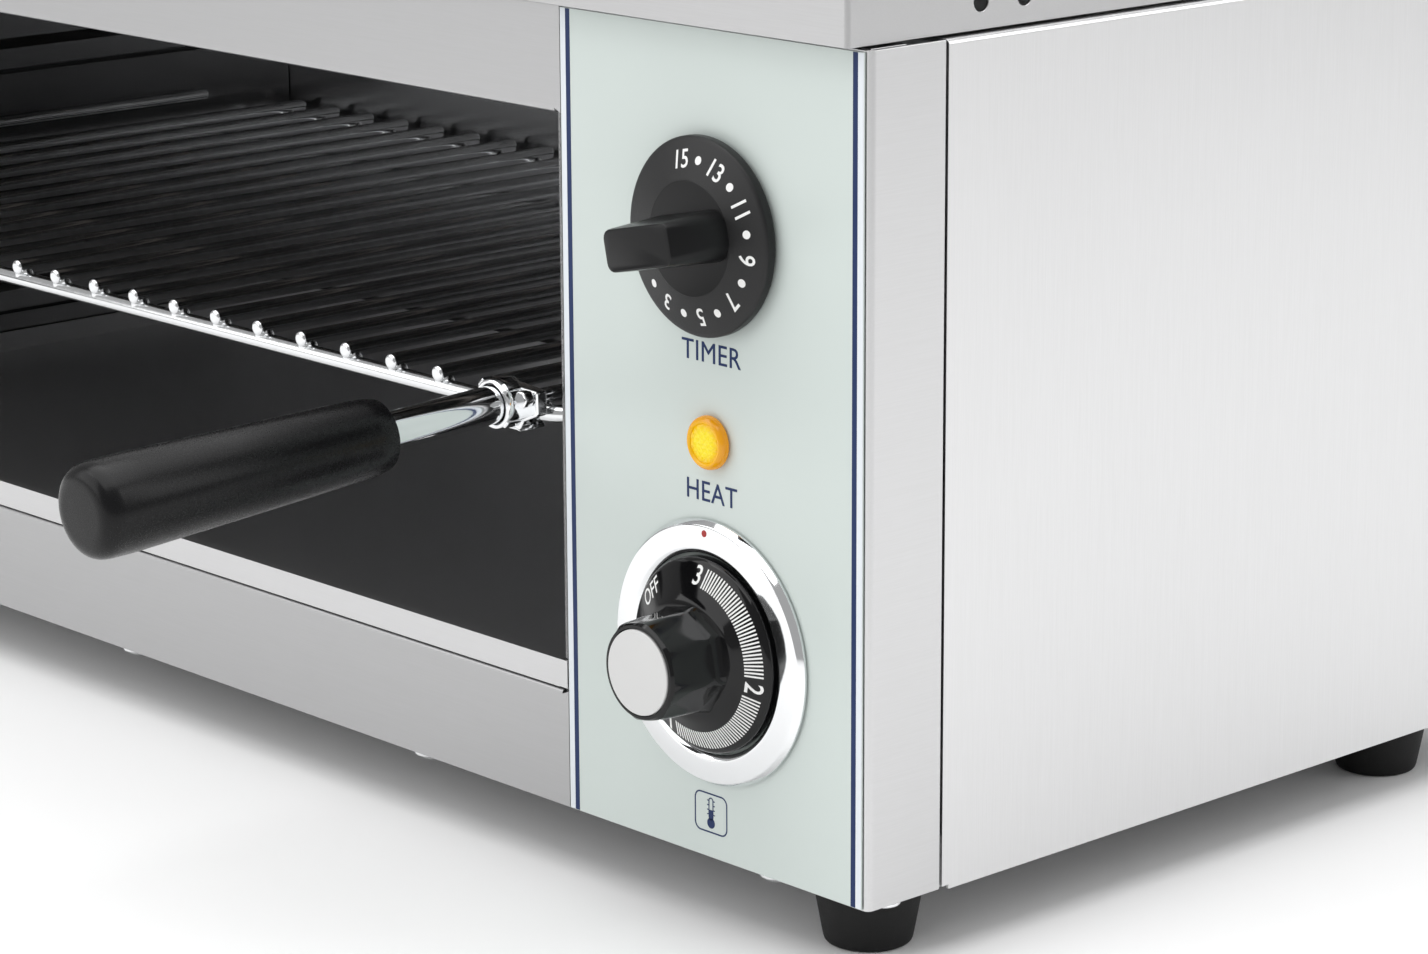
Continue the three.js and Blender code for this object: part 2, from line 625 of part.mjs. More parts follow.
function addTimer() {
  const { x, z } = TIMER;
  piece("timer_body", controlBox(x, z, 52, 48, TIMER.bodyDepth), FINISH.zinc);
  piece("timer_shaft", shaft(x, z, 16, -14), FINISH.zinc);
  const r = TIMER.skirtRadius;
  const boss = TIMER.bossRadius;
  const disc = turnedToFront(
    [[0, 1.2], [r - 0.6, 1.2], [r, 1.8], [r, 4.2], [r - 0.9, 5], [boss, 7.8], [0, 8]],
    32,
    x,
    z,
  );
  const grip = taperedGrip(-7, TIMER.gripFront).rotateY(-TIMER.turn).translate(x, 0, z);
  const bore = bar(SHAFT_RADIUS + GAP, [x, 0, z], [x, -14.5, z], 12);
  piece("timer_knob", cut(join(disc, grip), bore), FINISH.blackPlastic);
}

/** The timer's bar grip: rounded corners, standing out towards the front and larger at its foot. */
function taperedGrip(back, front) {
  const round = 3.5;
  const shape = new THREE.Shape();
  const x = TIMER.gripLength / 2 - round;
  const z = TIMER.gripWidth / 2 - round;
  const quarter = Math.PI / 2;
  shape.absarc(x, z, round, 0, quarter, false);
  shape.absarc(-x, z, round, quarter, 2 * quarter, false);
  shape.absarc(-x, -z, round, 2 * quarter, 3 * quarter, false);
  shape.absarc(x, -z, round, 3 * quarter, 4 * quarter, false);
  const depth = back - front;
  const grip = new THREE.ExtrudeGeometry(shape, { depth, bevelEnabled: false, curveSegments: 4 });
  grip.rotateX(Math.PI / 2).translate(0, back, 0);
  const { position } = grip.attributes;
  for (let i = 0; i < position.count; i += 1) {
    const share = (position.getY(i) - front) / depth;
    const grow = 1 + share * (TIMER.gripSpread - 1);
    position.setX(i, position.getX(i) * grow);
    position.setZ(i, position.getZ(i) * grow);
  }
  return grip;
}

function addRegulator() {
  const { x, z, bezelRadius, dialRadius, gripFront, capRadius } = REGULATOR;
  piece("regulator_body", controlBox(x, z, 48, 44, REGULATOR.bodyDepth), FINISH.blackPlastic);
  piece("regulator_shaft", shaft(x, z, 16, -20), FINISH.zinc);

  const inner = dialRadius + 0.7;
  const bezelProfile = [
    [inner, 1],
    [bezelRadius, 1],
    [bezelRadius, 2],
    [bezelRadius - 1.6, 3.5],
    [inner + 2.6, 4.1],
    [inner, 2.6],
    [inner, 1],
  ];
  piece("regulator_bezel", turnedToFront(bezelProfile, 36, x, z), FINISH.chrome);

  const cone = [[REGULATOR.gripFoot + 1, REGULATOR.coneTop], [0, REGULATOR.coneTop]];
  const dialProfile = [[0, 1.3], [dialRadius, 1.3], [dialRadius, 4.2], [dialRadius - 1, 5.3], ...cone];
  const dial = turnedToFront(dialProfile, 32, x, z);
  const grip = bar(REGULATOR.gripFoot, [0, -4, 0], [0, gripFront, 0], REGULATOR.gripSides, REGULATOR.gripTip);
  grip.rotateY(REGULATOR.gripTurn).translate(x, 0, z);
  const bore = bar(SHAFT_RADIUS + GAP, [x, 0, z], [x, -20.6, z], 12);
  const recess = bar(capRadius + GAP, [x, gripFront + 1, z], [x, gripFront - 1, z], 24);
  piece("regulator_knob", cut(join(dial, grip), bore, recess), FINISH.glossBlack);

  const cap = bar(capRadius, [x, gripFront + 0.6, z], [x, gripFront - 0.6, z], 24);
  piece("regulator_cap", cap, FINISH.white);
}

function addPilotLamp() {
  const { x, z, lensRadius, bodyRadius } = LAMP;
  const lensProfile = [[0, 1.1], [lensRadius, 1.1], [lensRadius, 2.6], [lensRadius - 1.2, 4.2], [0, 4.2]];
  piece("pilot_lamp_lens", turnedToFront(lensProfile, 28, x, z), FINISH.amber);
  piece("pilot_lamp_body", bar(bodyRadius, [x, 24, z], [x, -0.7, z], 16), FINISH.blackPlastic);
}

// ---- Wiring -------------------------------------------------------------------------------------
const BLOCK = { x0: 228, x1: 266, y0: 232, y1: 250, z1: 18 };

function addTerminalBlock() {
  const base = block(BLOCK.x0, BLOCK.x1, BLOCK.y0, BLOCK.y1, SHEET + GAP, BLOCK.z1);
  const ways = [0, 1, 2].map((i) => {
    const x = BLOCK.x0 + 7 + i * 12;
    return bar(3, [x, 241, 12], [x, 241, BLOCK.z1 + 1], 10);
  });
  piece("terminal_block", cut(base, ...ways), FINISH.ceramic);
}

function wire(points) {
  const curve = new THREE.CatmullRomCurve3(points.map((p) => new THREE.Vector3(...p)));
  return tube(curve, 1.5, 20, 6);
}

function addWiring() {
  const clear = 2 * GAP;
  const blockFront = BLOCK.y0 - clear;
  const timerBack = SHEET + GAP + TIMER.bodyDepth + clear;
  const regulatorBack = SHEET + GAP + REGULATOR.bodyDepth + clear;
  const toTimer = [
    [235, blockFront, 8],
    [235, blockFront - 12, 8],
    [250, 120, 110],
    [250, timerBack + 16, 175],
    [250, timerBack, 175],
  ];
  const toRegulator = [
    [247, blockFront, 8],
    [247, blockFront - 12, 8],
    [254, 110, 40],
    [248, regulatorBack + 14, 60],
    [248, regulatorBack, 60],
  ];
  const pinX = ELEMENT.terminal + clear;
  const elementWireY = ELEMENT.rows[1];
  const toElement = [
    [pinX, elementWireY, ELEMENT.z],
    [pinX + 12, elementWireY, ELEMENT.z],
    [230, 110, 120],
    [238, regulatorBack + 14, 52],
    [238, regulatorBack, 52],
  ];
  piece("wire_to_timer", wire(toTimer), FINISH.redWire);
  piece("wire_to_regulator", wire(toRegulator), FINISH.blueWire);
  piece("wire_to_element", wire(toElement), FINISH.redWire);
}

function addCableGland() {
  const { x, z, bore, collar, reach } = GLAND;
  const outside = DEPTH + GAP;
  const end = DEPTH + reach;
  const body = 7.9;
  const profile = [
    [bore, end],
    [bore, DEPTH - 12],
    [body, DEPTH - 12],
    [body, outside],
    [collar, outside],
    [collar, outside + 6],
    [8.6, end - 1.5],
    [7, end],
    [bore, end],
  ];
  const gland = turned(profile, 14).rotateX(-Math.PI / 2).translate(x, 0, z);
  piece("cable_gland", gland, FINISH.blackPlastic);
}

// ---- Feet and screws ----------------------------------------------------------------------------
function footPlaces() {
  const x = RIGHT_FACE - FOOT.inset;
  return [
    { name: "front_left", x: -x, y: FOOT.frontY },
    { name: "front_right", x, y: FOOT.frontY },
    { name: "rear_left", x: -x, y: FOOT.rearY },
    { name: "rear_right", x, y: FOOT.rearY },
  ];
}

function addFeet() {
  const top = -SIDE.drop - GAP;
  const shoulder = top - 3;
  const bottom = -FOOT_HEIGHT;
  const ledge = bottom + 9;
  const { bottomRadius, topRadius, recess } = FOOT;
  const profile = [
    [2.7, top],
    [2.7, ledge],
    [recess, ledge],
    [recess, bottom],
    [bottomRadius - 1, bottom],
    [bottomRadius, bottom + 1.2],
    [topRadius, shoulder],
    [topRadius, top],
    [2.7, top],
  ];
  footPlaces().forEach(({ name, x, y }) => {
    piece(`foot_${name}`, turned(profile, 16).translate(x, y, 0), FINISH.rubber);
    const screw = join(
      bar(4.4, [x, y, ledge - 3.4], [x, y, ledge - GAP], 12),
      bar(2.3, [x, y, ledge - 1], [x, y, 7], 10),
    );
    piece(`foot_screw_${name}`, screw, FINISH.zinc);
  });
}

function baseScrewPlaces() {
  const front = Array.from({ length: BASE_SCREW.count }, (_, i) => {
    return { name: `front_${i + 1}`, x: BASE_SCREW.firstX - i * BASE_SCREW.pitch, y: BASE_SCREW.y };
  });
  return [...front, { name: "side", x: RIGHT_FACE - 5.2, y: 11 }];
}

function addBaseScrews() {
  const r = BASE_SCREW.radius;
  const profile = [
    [0, -BASE_SCREW.dome - GAP],
    [r * 0.6, -BASE_SCREW.dome * 0.85 - GAP],
    [r, -1],
    [r, -GAP],
    [1.6, -GAP],
    [1.6, 5],
    [0, 5],
  ];
  baseScrewPlaces().forEach(({ name, x, y }) => {
    piece(`base_screw_${name}`, turned(profile, 8).translate(x, y, 0), FINISH.chrome);
  });
}

// ---- Assembly -----------------------------------------------------------------------------------
addBasePan();
addControlPanel();
addPanelFilm();
addSidePanels();
addRearPanel();
addTopLid();
addFascias();
addCavity();
addInsulation();
addRackGuides();
addWireRack();
addHandles();
addCrumbTray();
addHeatingElements();
addTimer();
addRegulator();
addPilotLamp();
addTerminalBlock();
addWiring();
addCableGland();
addFeet();
addBaseScrews();

const whole = new THREE.Box3().setFromObject(body);
const grill = new THREE.Group();
body.position.set(0, -(whole.min.y + whole.max.y) / 2, FOOT_HEIGHT);
grill.add(body);
export default grill;
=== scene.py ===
"""Looks of a countertop salamander grill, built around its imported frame.

Shapes are made in the maker's datum: millimetres, X across, Y back from the casing's front face and
Z up from the casing's lower edge. `to_frame` takes a finished mesh to the frame's metres.
"""

import json
import logging
import math
from collections.abc import Callable, Iterable, Sequence
from dataclasses import dataclass, field
from enum import Enum

import bmesh
import bpy
from mathutils import Matrix, Vector

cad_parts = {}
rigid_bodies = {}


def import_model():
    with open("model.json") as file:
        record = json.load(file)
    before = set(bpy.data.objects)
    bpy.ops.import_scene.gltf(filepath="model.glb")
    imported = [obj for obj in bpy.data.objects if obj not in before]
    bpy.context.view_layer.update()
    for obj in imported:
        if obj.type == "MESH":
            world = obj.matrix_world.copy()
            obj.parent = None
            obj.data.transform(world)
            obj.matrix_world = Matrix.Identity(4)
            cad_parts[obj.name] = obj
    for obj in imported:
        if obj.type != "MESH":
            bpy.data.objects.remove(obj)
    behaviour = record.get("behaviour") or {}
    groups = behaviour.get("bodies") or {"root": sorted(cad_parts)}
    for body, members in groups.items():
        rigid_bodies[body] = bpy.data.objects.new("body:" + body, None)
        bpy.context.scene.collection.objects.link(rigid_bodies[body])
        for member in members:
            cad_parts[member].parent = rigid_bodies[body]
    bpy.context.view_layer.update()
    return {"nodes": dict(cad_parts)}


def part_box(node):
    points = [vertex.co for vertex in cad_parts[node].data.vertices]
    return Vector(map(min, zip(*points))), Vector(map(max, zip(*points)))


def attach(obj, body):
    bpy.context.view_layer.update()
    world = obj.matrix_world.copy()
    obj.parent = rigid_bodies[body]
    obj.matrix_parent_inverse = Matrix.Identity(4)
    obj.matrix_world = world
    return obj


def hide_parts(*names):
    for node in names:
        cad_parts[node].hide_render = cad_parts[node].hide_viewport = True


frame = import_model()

Point = tuple[float, float, float]
Profile = list[tuple[float, float]]

MM = 0.001
SHEET = 1.0
ORIGIN: Point = (0.0, 0.0, 0.0)
BEVEL_ANGLE = math.radians(35.0)
LOG = logging.getLogger("grill")


# ---- Datum --------------------------------------------------------------------------------------
def to_frame() -> Matrix:
    """The matrix from the maker's datum to the frame.

    Returns:
        A scale to metres, then a shift to the casing's front face and lower edge.
    """
    low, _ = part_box("control_panel")
    return Matrix.Translation((0.0, low.y, low.z)) @ Matrix.Scale(MM, 4)


TO_FRAME = to_frame()
FROM_FRAME = TO_FRAME.inverted()


def extent(node: str) -> tuple[Vector, Vector]:
    """Lowest and highest corner of a frame node in the maker's datum.

    Args:
        node: The node's name.

    Returns:
        The two corners, in millimetres.
    """
    low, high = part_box(node)
    return FROM_FRAME @ low, FROM_FRAME @ high


def middle_of(node: str) -> tuple[float, float]:
    """Where the axis of a round node that faces the front stands.

    Args:
        node: The node's name.

    Returns:
        Its X and Z in the maker's datum.
    """
    low, high = extent(node)
    return (low.x + high.x) / 2, (low.z + high.z) / 2


class Body(Enum):
    """The bodies that pieces ride on."""

    CHASSIS = "chassis"
    RACK = "rack"
    TRAY = "tray"
    TIMER = "timer_dial"
    HEAT = "heat_dial"


class Facing(Enum):
    """The side that a face looks to."""

    FRONT = (0.0, -1.0, 0.0)
    BACK = (0.0, 1.0, 0.0)
    LEFT = (-1.0, 0.0, 0.0)
    RIGHT = (1.0, 0.0, 0.0)
    UP = (0.0, 0.0, 1.0)
    DOWN = (0.0, 0.0, -1.0)


class Grain(Enum):
    """The line along which sheet metal was brushed, as stretches of the pattern on X, Y and Z."""

    ACROSS = (1.0, 60.0, 60.0)
    DEEP = (60.0, 1.0, 60.0)
    UPRIGHT = (60.0, 60.0, 1.0)


# ---- Materials ----------------------------------------------------------------------------------
class Shader:
    """A node material under construction, with a principled shader at its end."""

    def __init__(self, name: str) -> None:
        """Starts an empty material.

        Args:
            name: The material's name.
        """
        self.material = bpy.data.materials.new(name)
        self.material.use_nodes = True
        self.nodes = self.material.node_tree.nodes
        self.links = self.material.node_tree.links
        self.surface = self.nodes["Principled BSDF"]
        self.place = self.nodes.new("ShaderNodeTexCoord").outputs["Object"]

    def set(self, **values: float | tuple[float, ...]) -> None:
        """Sets inputs of the principled shader; an underscore in a keyword stands for a space.

        Args:
            values: The inputs' values by name.
        """
        for name, value in values.items():
            self.surface.inputs[name.replace("_", " ")].default_value = value

    def mapped(self, scale: Sequence[float]) -> bpy.types.NodeSocket:
        """Object coordinates stretched on each axis.

        Args:
            scale: The three stretches.

        Returns:
            The stretched coordinates.
        """
        node = self.nodes.new("ShaderNodeMapping")
        node.inputs["Scale"].default_value = scale
        self.links.new(self.place, node.inputs["Vector"])
        return node.outputs["Vector"]

    def noise(
        self,
        scale: float,
        detail: float = 3.0,
        stretch: Sequence[float] = (1, 1, 1),
        rough: float = 0.55,
    ) -> bpy.types.NodeSocket:
        """A noise field over the piece.

        Args:
            scale: Cells per metre.
            detail: Octaves.
            stretch: Stretches of the pattern on the three axes.
            rough: How strong the finer octaves are.

        Returns:
            The field, from 0 to 1.
        """
        node = self.nodes.new("ShaderNodeTexNoise")
        node.inputs["Scale"].default_value = scale
        node.inputs["Detail"].default_value = detail
        node.inputs["Roughness"].default_value = rough
        self.links.new(self.mapped(stretch), node.inputs["Vector"])
        return node.outputs["Fac"]

    def cells(self, scale: float) -> bpy.types.NodeSocket:
        """A field of flat random cells, as on spangled plating."""
        node = self.nodes.new("ShaderNodeTexVoronoi")
        node.inputs["Scale"].default_value = scale
        self.links.new(self.mapped((1, 1, 1)), node.inputs["Vector"])
        return node.outputs["Color"]

    def ramp(self, source: bpy.types.NodeSocket, low: float, high: float) -> bpy.types.NodeSocket:
        """Takes a 0 to 1 field to another range.

        Args:
            source: The field.
            low: What 0 becomes.
            high: What 1 becomes.

        Returns:
            The new field.
        """
        node = self.nodes.new("ShaderNodeMapRange")
        node.inputs["To Min"].default_value = low
        node.inputs["To Max"].default_value = high
        self.links.new(source, node.inputs["Value"])
        return node.outputs["Result"]

    def blend(
        self, factor: bpy.types.NodeSocket, first: Sequence[float], second: Sequence[float]
    ) -> bpy.types.NodeSocket:
        """A colour between two colours.

        Args:
            factor: The field that mixes them.
            first: The colour at 0.
            second: The colour at 1.

        Returns:
            The mixed colour.
        """
        node = self.nodes.new("ShaderNodeMix")
        node.data_type = "RGBA"
        colours = [socket for socket in node.inputs if socket.type == "RGBA"]
        colours[0].default_value = (*first, 1.0)
        colours[1].default_value = (*second, 1.0)
        self.links.new(factor, node.inputs["Factor"])
        return next(socket for socket in node.outputs if socket.type == "RGBA")

    def colour(self, source: bpy.types.NodeSocket) -> None:
        """Drives the base colour."""
        self.links.new(source, self.surface.inputs["Base Color"])

    def roughness(self, source: bpy.types.NodeSocket) -> None:
        """Drives the roughness."""
        self.links.new(source, self.surface.inputs["Roughness"])

    def relief(self, source: bpy.types.NodeSocket, depth: float, strength: float = 1.0) -> None:
        """Gives the surface a fine relief.

        Args:
            source: The height field, from 0 to 1.
            depth: The height in metres that 1 stands for.
            strength: The share of the relief that shows.
        """
        node = self.nodes.new("ShaderNodeBump")
        node.inputs["Distance"].default_value = depth
        node.inputs["Strength"].default_value = strength
        self.links.new(source, node.inputs["Height"])
        self.links.new(node.outputs["Normal"], self.surface.inputs["Normal"])


@dataclass(frozen=True)
class BrushedSteel:
    """Stainless sheet with a brushed grain."""

    name: str
    slot: str
    grain: Grain
    # bright is the base colour; the casing copies below set it per face, which paints light and shade
    # into the colour.
    bright: float = 0.68
    gloss: float = 0.3
    spread: float = 0.06
    relief: float = 0.000012

    def make(self) -> bpy.types.Material:
        """Builds the material."""
        shader = Shader(self.name)
        shader.set(Metallic=1.0)
        fine = shader.noise(55.0, 4.0, self.grain.value, 0.7)
        broad = shader.noise(9.0, 2.0)
        low = (self.bright - self.spread,) * 3
        high = (self.bright + self.spread, self.bright + self.spread, self.bright + self.spread + 0.008)
        shader.colour(shader.blend(fine, low, high))
        mixed = shader.nodes.new("ShaderNodeMath")
        mixed.operation = "ADD"
        shader.links.new(shader.ramp(fine, -0.05, 0.05), mixed.inputs[0])
        shader.links.new(shader.ramp(broad, self.gloss - 0.03, self.gloss + 0.03), mixed.inputs[1])
        shader.roughness(mixed.outputs[0])
        shader.relief(fine, self.relief)
        return shader.material


@dataclass(frozen=True)
class PlatedMetal:
    """Chrome, zinc plate or oxidised steel: a metal with a mottled gloss and no grain."""

    name: str
    slot: str
    tint: tuple[float, float, float]
    gloss: float
    mottle: float = 0.03
    cell: float = 400.0
    relief: float = 0.00001
    spangled: bool = False

    def make(self) -> bpy.types.Material:
        """Builds the material."""
        shader = Shader(self.name)
        shader.set(Metallic=1.0)
        source = shader.noise(self.cell, 3.0)
        dark = tuple(max(0.0, c - self.mottle) for c in self.tint)
        shader.colour(shader.blend(source, dark, self.tint))
        tone = shader.cells(self.cell * 0.3) if self.spangled else source
        shader.roughness(shader.ramp(tone, self.gloss, self.gloss + 2 * self.mottle))
        shader.relief(source, self.relief)
        return shader.material


@dataclass(frozen=True)
class Moulded:
    """Moulded plastic, rubber, ceramic, ink or fibre: a non-metal with its own grain."""

    name: str
    slot: str
    tint: tuple[float, float, float]
    gloss: float
    cell: float = 1500.0
    relief: float = 0.00003
    vary: float = 0.15
    coat: float = 0.0
    mirror: float = 0.5

    def make(self) -> bpy.types.Material:
        """Builds the material."""
        shader = Shader(self.name)
        shader.set(Coat_Weight=self.coat, Coat_Roughness=0.04, Specular_IOR_Level=self.mirror)
        grain = shader.noise(self.cell, 4.0)
        cloud = shader.noise(25.0, 2.0)
        dark = tuple(c * (1 - self.vary) for c in self.tint)
        pale = tuple(min(1.0, c * (1 + self.vary)) for c in self.tint)
        shader.colour(shader.blend(cloud, dark, pale))
        shader.roughness(shader.ramp(grain, self.gloss - 0.04, self.gloss + 0.06))
        shader.relief(grain, self.relief)
        return shader.material


@dataclass(frozen=True)
class LitLens:
    """An amber lens with a lamp behind its middle."""

    name: str
    slot: str
    centre: tuple[float, float, float]
    reach: float
    edge: tuple[float, float, float] = (0.62, 0.25, 0.0)
    core: tuple[float, float, float] = (0.70, 0.56, 0.0)

    def make(self) -> bpy.types.Material:
        """Builds the material: the glow fades from the lens's middle to its rim."""
        shader = Shader(self.name)
        shader.set(Roughness=0.2, Emission_Strength=0.3)
        shift = shader.nodes.new("ShaderNodeVectorMath")
        shift.operation = "DISTANCE"
        shift.inputs[1].default_value = self.centre
        shader.links.new(shader.place, shift.inputs[0])
        fade = shader.nodes.new("ShaderNodeMapRange")
        fade.interpolation_type = "SMOOTHSTEP"
        fade.inputs["From Min"].default_value = 0.35 * self.reach
        fade.inputs["From Max"].default_value = self.reach
        shader.links.new(shift.outputs["Value"], fade.inputs["Value"])
        glow = shader.blend(fade.outputs["Result"], self.core, self.edge)
        shader.colour(glow)
        shader.links.new(glow, shader.surface.inputs["Emission Color"])
        return shader.material


Finish = BrushedSteel | PlatedMetal | Moulded | LitLens
MADE: dict[str, bpy.types.Material] = {}


def material_of(finish: Finish) -> bpy.types.Material:
    """The one material of a finish, made on first use.

    Args:
        finish: The finish.

    Returns:
        Its material.
    """
    if finish.name not in MADE:
        MADE[finish.name] = finish.make()
    return MADE[finish.name]


# Painted shade: the fascias' copy of the casing's one brushed stainless is darkened to paint the shade
# that the front faces show.
FASCIA_STEEL_PAINTED_SHADE = BrushedSteel("fascia_steel_painted_shade", "brushed_casing", Grain.ACROSS, 0.46, 0.36, 0.03)
PANEL_STEEL = BrushedSteel("panel_steel", "brushed_casing", Grain.DEEP, 0.6, 0.32, 0.04)
# Painted light: the side panels' copy of the same stainless is made lighter to paint the bright light
# that falls on the sides.
SIDE_STEEL_PAINTED_LIGHT = BrushedSteel("side_steel_painted_light", "brushed_casing", Grain.UPRIGHT, 0.68, 0.34, 0.05)
# Painted shade: the lid's copy of the same stainless is darkened to paint the shade on its faces.
LID_STEEL_PAINTED_SHADE = BrushedSteel("lid_steel_painted_shade", "brushed_casing", Grain.ACROSS, 0.52, 0.32, 0.04)
# Painted shade: the base pan's and rear panel's copy of the same stainless is darkened to paint the
# shade under and behind the casing.
BASE_STEEL_PAINTED_SHADE = BrushedSteel("base_steel_painted_shade", "brushed_casing", Grain.ACROSS, 0.46, 0.35, 0.04)
LINER_STEEL = BrushedSteel("liner_steel", "cavity_steel", Grain.ACROSS, 0.4, 0.22, 0.03)
LINER_SIDE_STEEL = BrushedSteel("liner_side_steel", "cavity_steel", Grain.DEEP, 0.4, 0.22, 0.03)
TRAY_STEEL = BrushedSteel("tray_steel", "tray_steel", Grain.ACROSS, 0.62, 0.34, 0.03)
ZINC = PlatedMetal("zinc_plate", "zinc_plate", (0.6, 0.61, 0.62), 0.28, 0.06, 300.0, 0.00001, True)
RACK_CHROME = PlatedMetal("rack_chrome", "rack_chrome", (0.78, 0.79, 0.8), 0.1, 0.04, 500.0)
CHROME = PlatedMetal("bright_chrome", "chrome", (0.86, 0.87, 0.88), 0.06, 0.02, 300.0, 0.000006)
BEZEL_CHROME = PlatedMetal("polished_chrome", "chrome", (0.84, 0.85, 0.86), 0.05, 0.02, 300.0, 0.000003)
SHEATH = PlatedMetal(
    "element_sheath", "element_sheath", (0.17, 0.155, 0.145), 0.42, 0.05, 600.0, 0.00002
)
GRIP_BLACK = Moulded(
    "grip_black", "grip_plastic", (0.004, 0.004, 0.0045), 0.26, 1800.0, 0.00001, 0.1, 0.0, 0.22
)
KNOB_BLACK = Moulded(
    "knob_black", "knob_black", (0.009, 0.009, 0.0095), 0.36, 2600.0, 0.00006, 0.2, 0.0, 0.35
)
BOSS_BLACK = Moulded(
    "boss_black", "knob_black", (0.005, 0.005, 0.0055), 0.3, 2000.0, 0.00001, 0.1, 0.0, 0.25
)
DIAL_BLACK = Moulded(
    "dial_black", "dial_gloss_black", (0.004, 0.004, 0.0045), 0.07, 300.0, 0.000002, 0.1, 0.0, 0.3
)
CONTROL_BLACK = Moulded("control_black", "control_plastic", (0.012, 0.012, 0.0125), 0.45, 900.0, 0.00003)
RUBBER = Moulded("foot_rubber", "rubber", (0.007, 0.007, 0.007), 0.6, 1200.0, 0.00006, 0.2, 0.0, 0.3)
FILM = Moulded("panel_film", "panel_film", (0.575, 0.635, 0.61), 0.36, 700.0, 0.000006, 0.015)
FILM_EDGE = Moulded("film_edge", "panel_film", (0.72, 0.76, 0.80), 0.36, 700.0, 0.000006, 0.015)
NAVY_INK = Moulded(
    "navy_ink", "panel_film", (0.006, 0.022, 0.095), 0.45, 900.0, 0.000004, 0.08, 0.0, 0.3
)
WHITE_INK = Moulded(
    "white_ink", "cap_white", (0.86, 0.86, 0.85), 0.45, 900.0, 0.000004, 0.03, 0.0, 0.3
)
CAP_WHITE = Moulded(
    "cap_white", "cap_white", (0.62, 0.62, 0.615), 0.35, 400.0, 0.000004, 0.02, 0.0, 0.4
)
RED_INK = Moulded("red_ink", "wire_red", (0.35, 0.012, 0.01), 0.35, 900.0, 0.000004, 0.1)
CERAMIC = Moulded("ceramic_white", "ceramic_white", (0.82, 0.79, 0.72), 0.3, 500.0, 0.00002, 0.06, 0.2)
RED_WIRE = Moulded("red_wire", "wire_red", (0.42, 0.03, 0.02), 0.45, 700.0, 0.00002)
BLUE_WIRE = Moulded("blue_wire", "wire_blue", (0.03, 0.08, 0.36), 0.45, 700.0, 0.00002)
FIBRE = Moulded("ceramic_fibre", "insulation", (0.78, 0.76, 0.71), 0.9, 260.0, 0.0012, 0.12)


# ---- Mesh making --------------------------------------------------------------------------------
def mesh_from(made: bmesh.types.BMesh, name: str) -> bpy.types.Mesh:
    """Turns a bmesh into a mesh and frees it.

    Args:
        made: The bmesh.
        name: The mesh's name.

    Returns:
        The mesh, still in the maker's datum.
    """
    mesh = bpy.data.meshes.new(name)
    made.to_mesh(mesh)
    made.free()
    return mesh


def opened(mesh: bpy.types.Mesh) -> bmesh.types.BMesh:
    """Opens a plain mesh for more work.

    Args:
        mesh: The mesh.

    Returns:
        A bmesh with the same shape.
    """
    made = bmesh.new()
    made.from_mesh(mesh)
    return made


def bridged(made: bmesh.types.BMesh, rings: Sequence[Sequence[bmesh.types.BMVert]]) -> None:
    """Joins each ring of points to the next with faces.

    Args:
        made: What the rings belong to.
        rings: Rings of equal length; a ring may be one point repeated.
    """
    for lower, upper in zip(rings, rings[1:]):
        count = len(lower)
        for k in range(count):
            following = (k + 1) % count
            corners = dict.fromkeys([lower[k], lower[following], upper[following], upper[k]])
            if len(corners) > 2:
                made.faces.new(list(corners))


def border_of(made: bmesh.types.BMesh) -> list[bmesh.types.BMVert]:
    """Walks once round the border of an open surface that has one border.

    Args:
        made: The surface.

    Returns:
        The border's points in order.
    """
    start = next(edge for edge in made.edges if edge.is_boundary)
    walked = [start.verts[0]]
    edge, here = start, start.verts[1]
    while here is not walked[0]:
        walked.append(here)
        edge = next(other for other in here.link_edges if other.is_boundary and other is not edge)
        here = edge.other_vert(here)
    return walked


def outward(made: bmesh.types.BMesh, merge: float = 1e-4) -> None:
    """Merges doubles and turns every face of closed shells outwards."""
    bmesh.ops.remove_doubles(made, verts=made.verts, dist=merge)
    bmesh.ops.recalc_face_normals(made, faces=made.faces)


def joined(parts: Iterable[bmesh.types.BMesh]) -> bmesh.types.BMesh:
    """Puts several shells in one bmesh.

    Args:
        parts: The shells, which are freed.

    Returns:
        The bmesh that holds them all.
    """
    whole = bmesh.new()
    for part in parts:
        whole.from_mesh(mesh_from(part, "part"))
    return whole


def filleted(corners: Sequence[tuple[float, float, float]], steps: int = 5) -> Profile:
    """A profile whose corners are rounded.

    Args:
        corners: Radius, height and fillet of each corner.
        steps: Pieces in each round corner.

    Returns:
        The points of the rounded profile.
    """
    points: Profile = []
    last = len(corners) - 1
    for index, (radius, height, fillet) in enumerate(corners):
        here = Vector((radius, height))
        if fillet <= 0 or index in (0, last):
            points.append((radius, height))
            continue
        before = Vector(corners[index - 1][:2]) - here
        after = Vector(corners[index + 1][:2]) - here
        cut = min(fillet, 0.49 * before.length, 0.49 * after.length)
        start = here + before.normalized() * cut
        end = here + after.normalized() * cut
        for step in range(steps + 1):
            share = step / steps
            point = start * (1 - share) ** 2 + here * 2 * share * (1 - share) + end * share**2
            points.append((point.x, point.y))
    return points


